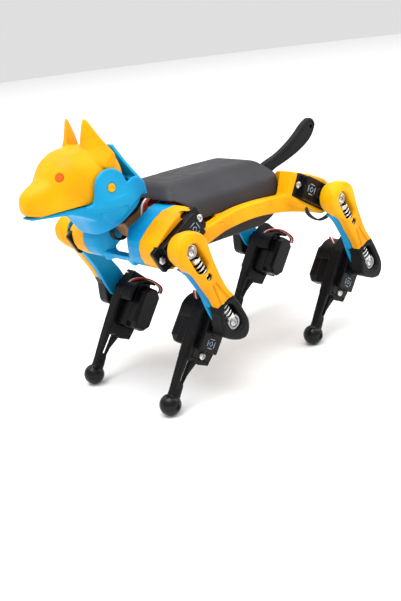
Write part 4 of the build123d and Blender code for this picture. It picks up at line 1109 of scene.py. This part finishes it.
def shank_mesh():
    g = Grid((-13.0, 18.6, -12.0), (50.6, 37.0, 12.0), 0.25)
    taper = np.clip((g.x - 6.0) / 40.0, 0, 1)
    centre_y = 32.25
    half_y = 3.75 - 1.7 * taper ** 0.7
    across = np.abs(g.y - centre_y) - half_y
    strip = outline(g.x, g.z, [(-11.4, 7.2), (0.0, 9.5), (9.0, 8.9), (18.0, 7.5), (26.0, 6.3),
                               (36.0, 4.4), (STRIP_TIP + 2, 2.0), (STRIP_TIP + 2, -0.2),
                               (34.0, 2.4), (25.0, 3.6), (20.0, 6.0), (-11.4, 6.0)])
    back = outline(g.x, g.z, [(22.4, -5.0), (24.8, -3.6), (31.6, -1.6), (40.0, -1.0),
                              (STRIP_TIP + 2, -1.6), (STRIP_TIP + 2, 0.4), (36.0, 1.0),
                              (25.0, 0.4), (22.0, 1.0)])
    bars = join(prism(strip, across, 0.7), prism(back, np.abs(g.y - centre_y) - 1.25, 0.5), 0.5)
    web = outline(g.x, g.z, [(-11.6, -6.2), (-11.6, 7.4), (0.0, 9.3), (18.0, 7.2), (24.6, 5.8),
                             (24.8, -3.4), (23.0, -9.4), (10.0, -10.0), (0.0, -9.4)])
    bars = join(bars, prism(web, slab(g.y, 28.5, 35.9), 0.8), 0.4)
    slit = obround(g.x - 30.0, g.z - 1.5 + (g.x - 30.0) * 0.09, -4.6, 5.4, 1.6)
    bars = cut(bars, slit, 0.3)
    # hood over the lead at the knee end
    arc = [(10.4 * math.cos(a), 10.4 * math.sin(a) - 0.4)
           for a in np.linspace(math.radians(58), math.radians(196), 22)]
    back_arc = [(8.7 * math.cos(a), 8.7 * math.sin(a) - 0.4)
                for a in np.linspace(math.radians(196), math.radians(58), 22)]
    hood = prism(outline(g.x, g.z, arc + back_arc), slab(g.y, 20.0, 29.4), 0.5)
    bars = join(bars, hood, 0.5)
    # seat of the servo
    c, s = math.cos(SERVO_TURN), math.sin(SERVO_TURN)
    centre = (CASE_MID * c, CASE_MID * s)
    case = block(g.x, g.z, centre, (24.4, 12.8), 0.4, SERVO_TURN)
    ears = block(g.x, g.z, centre, (33.4, 12.8), 0.4, SERVO_TURN)
    bars = cut(bars, np.maximum(case, 19.0 - g.y), 0.15)
    bars = cut(bars, np.maximum(ears, 33.4 - g.y), 0.15)
    # socket that grips the ball
    collar = rod(g, (SHANK_LEN - 9.5, centre_y, 0.4), (SHANK_LEN - 3.0, centre_y, 0.1), 2.6, 3.4)
    bars = join(bars, collar, 0.8)
    bars = cut(bars, ball(g, (SHANK_LEN, 32.3, 0), 5.2))
    return mesh_data("shank_mesh", g, bars)


def foot_mesh():
    g = Grid((SHANK_LEN - 6.2, 26.0, -6.2), (SHANK_LEN + 6.2, 38.6, 6.2), 0.18)
    foot = ball(g, (SHANK_LEN, 32.3, 0), 5.47)
    # two fine seams and the keeper screw's dimple
    seam = np.abs(g.y - 32.3) - 0.10
    foot = cut(foot, np.maximum(seam, -(foot + 0.22)), 0.15)
    ring = np.abs(np.hypot(g.y - 32.3, g.z) - 3.9) - 0.12
    foot = cut(foot, np.maximum(np.maximum(ring, -(foot + 0.22)), g.x - SHANK_LEN), 0.1)
    dimple = np.maximum(np.hypot(g.x - SHANK_LEN, g.z) - 1.5, 36.7 - g.y)
    foot = cut(foot, dimple, 0.3)
    return mesh_data("foot_mesh", g, foot)


def coil_mesh(name, start, end, y, radius, wire, turns):
    points = [(start * MM + p[0], y * MM + p[1], p[2])
              for p in helix(end - start, radius, wire, turns)]
    return tube(name, points, wire * MM, 10)


THIGH_OUTER = thigh_outer_mesh()
THIGH_INNER = thigh_inner_mesh()
KNEE_END = knee_end_mesh()
TROUGH = trough_mesh()
SLIDER = slider_mesh()
HIP_WASHER = washer_mesh()
SHANK = shank_mesh()
FOOT_BALL = foot_mesh()
COIL = coil_mesh("coil_mesh", 4.0, 43.4, COIL_Y, COIL_R, 0.43, 20)


def build_leg(name, side, hip_x):
    thigh = thigh_frame(hip_x, side)
    shank = shank_frame(hip_x, side)
    up, low, slide = f"thigh_{name}", f"shank_{name}", f"slider_{name}"
    placed(f"thigh_yellow_{name}", THIGH_OUTER, YELLOW, up, thigh,
           (f"thigh_outer_{name}",))
    placed(f"thigh_blue_{name}", THIGH_INNER, BLUE, up, thigh,
           (f"thigh_inner_{name}",))
    placed(f"knee_black_{name}", KNEE_END, BLACK, up, thigh, (f"knee_end_{name}",))
    placed(f"spring_tongue_{name}", TROUGH, BLACK, up, thigh)
    placed(f"hip_washer_{name}", HIP_WASHER, STEEL, up, thigh)
    placed(f"hip_bolt_{name}", HIP_SCREW, STEEL, up, at_local(thigh, 0, 48.9, 0),
           (f"hip_screw_{name}",))
    coil = placed(f"coil_{name}", COIL, SPRING, up, thigh, (f"thigh_spring_{name}",))
    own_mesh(coil)
    placed(f"knee_washer_{name}", SLIDER, WASHER, slide, thigh,
           (f"knee_slider_{name}",))
    placed(f"knee_bolt_{name}", HIP_SCREW, STEEL, slide,
           at_local(thigh, THIGH_LEN, 48.6, 0), (f"knee_screw_{name}",))
    servo = shank @ Matrix.Rotation(-SERVO_TURN, 4, "Y")
    servo = at_local(servo, 0, SERVO_Y, 0)
    placed(f"knee_case_{name}", SERVO_FACETED, SERVO, low, servo,
           (f"knee_servo_{name}",))
    ears = [moved(EAR_SCREW, Matrix.Translation((x * MM, EAR_TOP * MM, 0))) for x in EAR_HOLES]
    placed(f"knee_screws_{name}", joined("ears", ears), STEEL, low, servo,
           (f"shank_screws_{name}",))
    placed(f"shank_strip_{name}", SHANK, BLACK, low, shank, (f"shank_{name}",))
    placed(f"foot_ball_{name}", FOOT_BALL, FOOT, low, shank, (f"foot_{name}",))
    ribbon(f"knee_lead_{name}", [(-5.4, 16.2, -4.6), (-7.6, 16.4, -4.4), (-8.8, 16.8, -3.2),
                                 (-9.4, 17.8, -0.2), (-9.4, 19.4, 3.6), (-8.4, 22.0, 6.8),
                                 (-6.0, 26.0, 8.6), (-2.6, 29.4, 8.2)], (0.1, 1.0, 0.0), low, shank)
    face = at_local(servo, 13.4, CASE_TOP, 0)
    stroke(f"knee_mark_{name}", face, badge(0, 0, 4.6), 0.4, 0.05, MARK, low)
    return coil


for name, side, hip_x, tilt in LEGS:
    build_leg(name, side, hip_x)


# ---------------------------------------------------------------- battery, board, horn, leads
def build_battery():
    g = Grid((-42.0, -15.2, 68.6), (23.4, 15.2, 81.4), 0.35)
    flat = outline(g.x, g.z, [(22.0, 71.6), (22.0, 80.2), (-40.5, 80.2), (-40.5, 75.2)]
                   + smooth_line([(-40.5, 75.2), (-37.0, 72.9), (-33.0, 71.2), (-28.0, 70.1),
                                  (-24.0, 69.8)], False) + [(19.0, 69.8), (21.2, 70.3)])
    pack = prism(flat, np.abs(g.y) - 14.0, 1.4)
    rail = join(np.maximum(slab(g.z, 78.2, 82.0), np.abs(g.y) - 3.3),
                np.maximum(slab(g.z, 76.2, 78.8), np.abs(g.y) - 6.3))
    pack = cut(pack, rail, 0.2)
    pack = cut(pack, np.maximum(disc(g.x, g.y, (-12.0, 0), 2.75), g.z - 72.5), 0.3)
    seam = np.maximum(np.abs(g.z - 75.6) - 0.2, -(pack + 0.4))
    pack = cut(pack, seam, 0.15)
    placed("battery_case", mesh_data("pack", g, pack, (BODY_X, 0, 0)), COVER, "battery_pack",
           replaces=("battery",))
    cap = lathe("cap", [(0.3, 0.0), (1.6, 0.0), (2.2, 0.15), (2.55, 0.5), (2.55, 1.4),
                        (0.3, 1.4)], 40)
    placed("power_cap", cap, FOOT, "power_button",
           basis((-12.0, 0, 69.9), (1, 0, 0), (0, 0, 1), (0, 1, 0)), ("battery_button",))


def repaint(node, material):
    """Give a CAD node that shows as it is a procedural finish and softened edges."""
    piece = nodes[node]
    piece.data.materials.clear()
    piece.data.materials.append(material)
    soften = piece.modifiers.new("soften", "BEVEL")
    soften.width = 0.0002
    soften.segments = 2
    soften.limit_method = "ANGLE"
    soften.angle_limit = math.radians(40)
    soften.harden_normals = False


def build_leads():
    """Short captive leads of the hip and neck servos."""
    body = Matrix.Translation((BODY_X * MM, 0, 0))
    black = (WIRE_BLACK, WIRE_BLACK, WIRE_BLACK)
    ribbon("neck_loop", [(44.5, -3.0, 92.5), (50.0, -3.6, 92.0), (55.4, -4.2, 89.4),
                         (57.2, -4.6, 85.8), (55.6, -4.6, 82.8), (51.6, -4.2, 81.8),
                         (47.4, -3.6, 84.4)], (0.0, 1.0, 0.0), "chassis", body, black, 0.55)
    ribbon("neck_lead", [(43.0, 9.6, 101.0), (46.6, 10.8, 99.0), (47.6, 10.8, 95.0),
                         (47.0, 10.0, 91.4), (44.4, 8.6, 89.4)], (0.7, -0.7, 0.0), "chassis", body,
           (WIRE_BROWN, WIRE_RED, WIRE_WHITE))
    for side, word in ((1, "left"), (-1, "right")):
        ribbon(f"rear_loop_{word}", [(-40.4, side * 34, 81.0), (-41.8, side * 34, 76.8),
                                     (-45.0, side * 34, 72.8), (-50.4, side * 34, 69.6),
                                     (-56.2, side * 34, 69.4), (-61.4, side * 34, 71.6),
                                     (-64.4, side * 34, 75.4)], (0.0, 1.0, 0.0), "chassis", body,
               black, 0.5)


build_neck_parts()
build_leads()
build_battery()
repaint("main_board", BOARD)
repaint("neck_horn", AMBER)
repaint("servo_leads", WIRE_RED)

# ---------------------------------------------------------------- camera, lights, floor
AZIMUTH = math.radians(50.45)
ELEVATION = math.radians(18.9)
ROLL = math.radians(-7.13)
AIM = Vector((BODY_X, 0, 50.0))
OFFSET = (5.97, 15.87)
DISTANCE = 462.55
LENS = 51.17


def build_camera():
    back = Vector((math.cos(ELEVATION) * math.cos(AZIMUTH), math.cos(ELEVATION) * math.sin(AZIMUTH),
                   math.sin(ELEVATION)))
    right = (-back).cross(Vector((0, 0, 1))).normalized()
    up = right.cross(-back)
    c, s = math.cos(ROLL), math.sin(ROLL)
    right, up = c * right + s * up, -s * right + c * up
    at = (AIM + back * DISTANCE - right * OFFSET[0] - up * OFFSET[1]) * MM
    camera = bpy.data.objects.new("camera", bpy.data.cameras.new("camera"))
    camera.data.lens = LENS
    camera.data.sensor_width = 36.0
    camera.data.clip_start = 0.01
    camera.matrix_world = Matrix([(right[i], up[i], back[i], at[i]) for i in range(3)]
                                 + [(0, 0, 0, 1)])
    bpy.context.scene.collection.objects.link(camera)
    bpy.context.scene.camera = camera


def area_light(name, at, aim, size, power, colour=(1, 1, 1)):
    light = bpy.data.lights.new(name, "AREA")
    light.shape = "RECTANGLE"
    light.size, light.size_y = size
    light.energy = power
    light.color = colour
    piece = bpy.data.objects.new(name, light)
    piece.location = at
    piece.rotation_euler = (Vector(aim) - Vector(at)).to_track_quat("-Z", "Y").to_euler()
    bpy.context.scene.collection.objects.link(piece)


def build_stage():
    bm = bmesh.new()
    bmesh.ops.create_circle(bm, cap_ends=True, segments=96, radius=3.0)
    mesh = bpy.data.meshes.new("floor")
    bm.to_mesh(mesh)
    bm.free()
    floor = bpy.data.objects.new("floor", mesh)
    bpy.context.scene.collection.objects.link(floor)
    material, tree, shader, coords = new_material("floor_paper")
    paper = noise(tree, coords, 60.0, 4.0)
    tree.links.new(ramp(tree, paper, [(0.3, (0.86, 0.86, 0.86)), (0.7, (0.90, 0.90, 0.90))]),
                   shader.inputs["Base Color"])
    tree.links.new(spread(tree, paper, 0.75, 0.9), shader.inputs["Roughness"])
    shader.inputs["Specular IOR Level"].default_value = 0.15
    floor.data.materials.append(material)
    world = bpy.data.worlds.new("studio")
    world.use_nodes = True
    world.node_tree.nodes["Background"].inputs[0].default_value = (1.0, 1.0, 1.0, 1)
    world.node_tree.nodes["Background"].inputs[1].default_value = 0.74
    bpy.context.scene.world = world
    area_light("overhead", (0.0, 0.0, 2.2), (0, 0, 0), (4.0, 4.0), 66.0)
    area_light("key", (0.25, 0.05, 0.80), (0, 0, 0.07), (0.5, 0.5), 4.0)
    area_light("rim", (-0.55, 0.35, 0.5), (0, 0, 0.08), (0.4, 0.5), 2.0)


build_camera()
build_stage()
bpy.context.scene.view_settings.view_transform = "Standard"
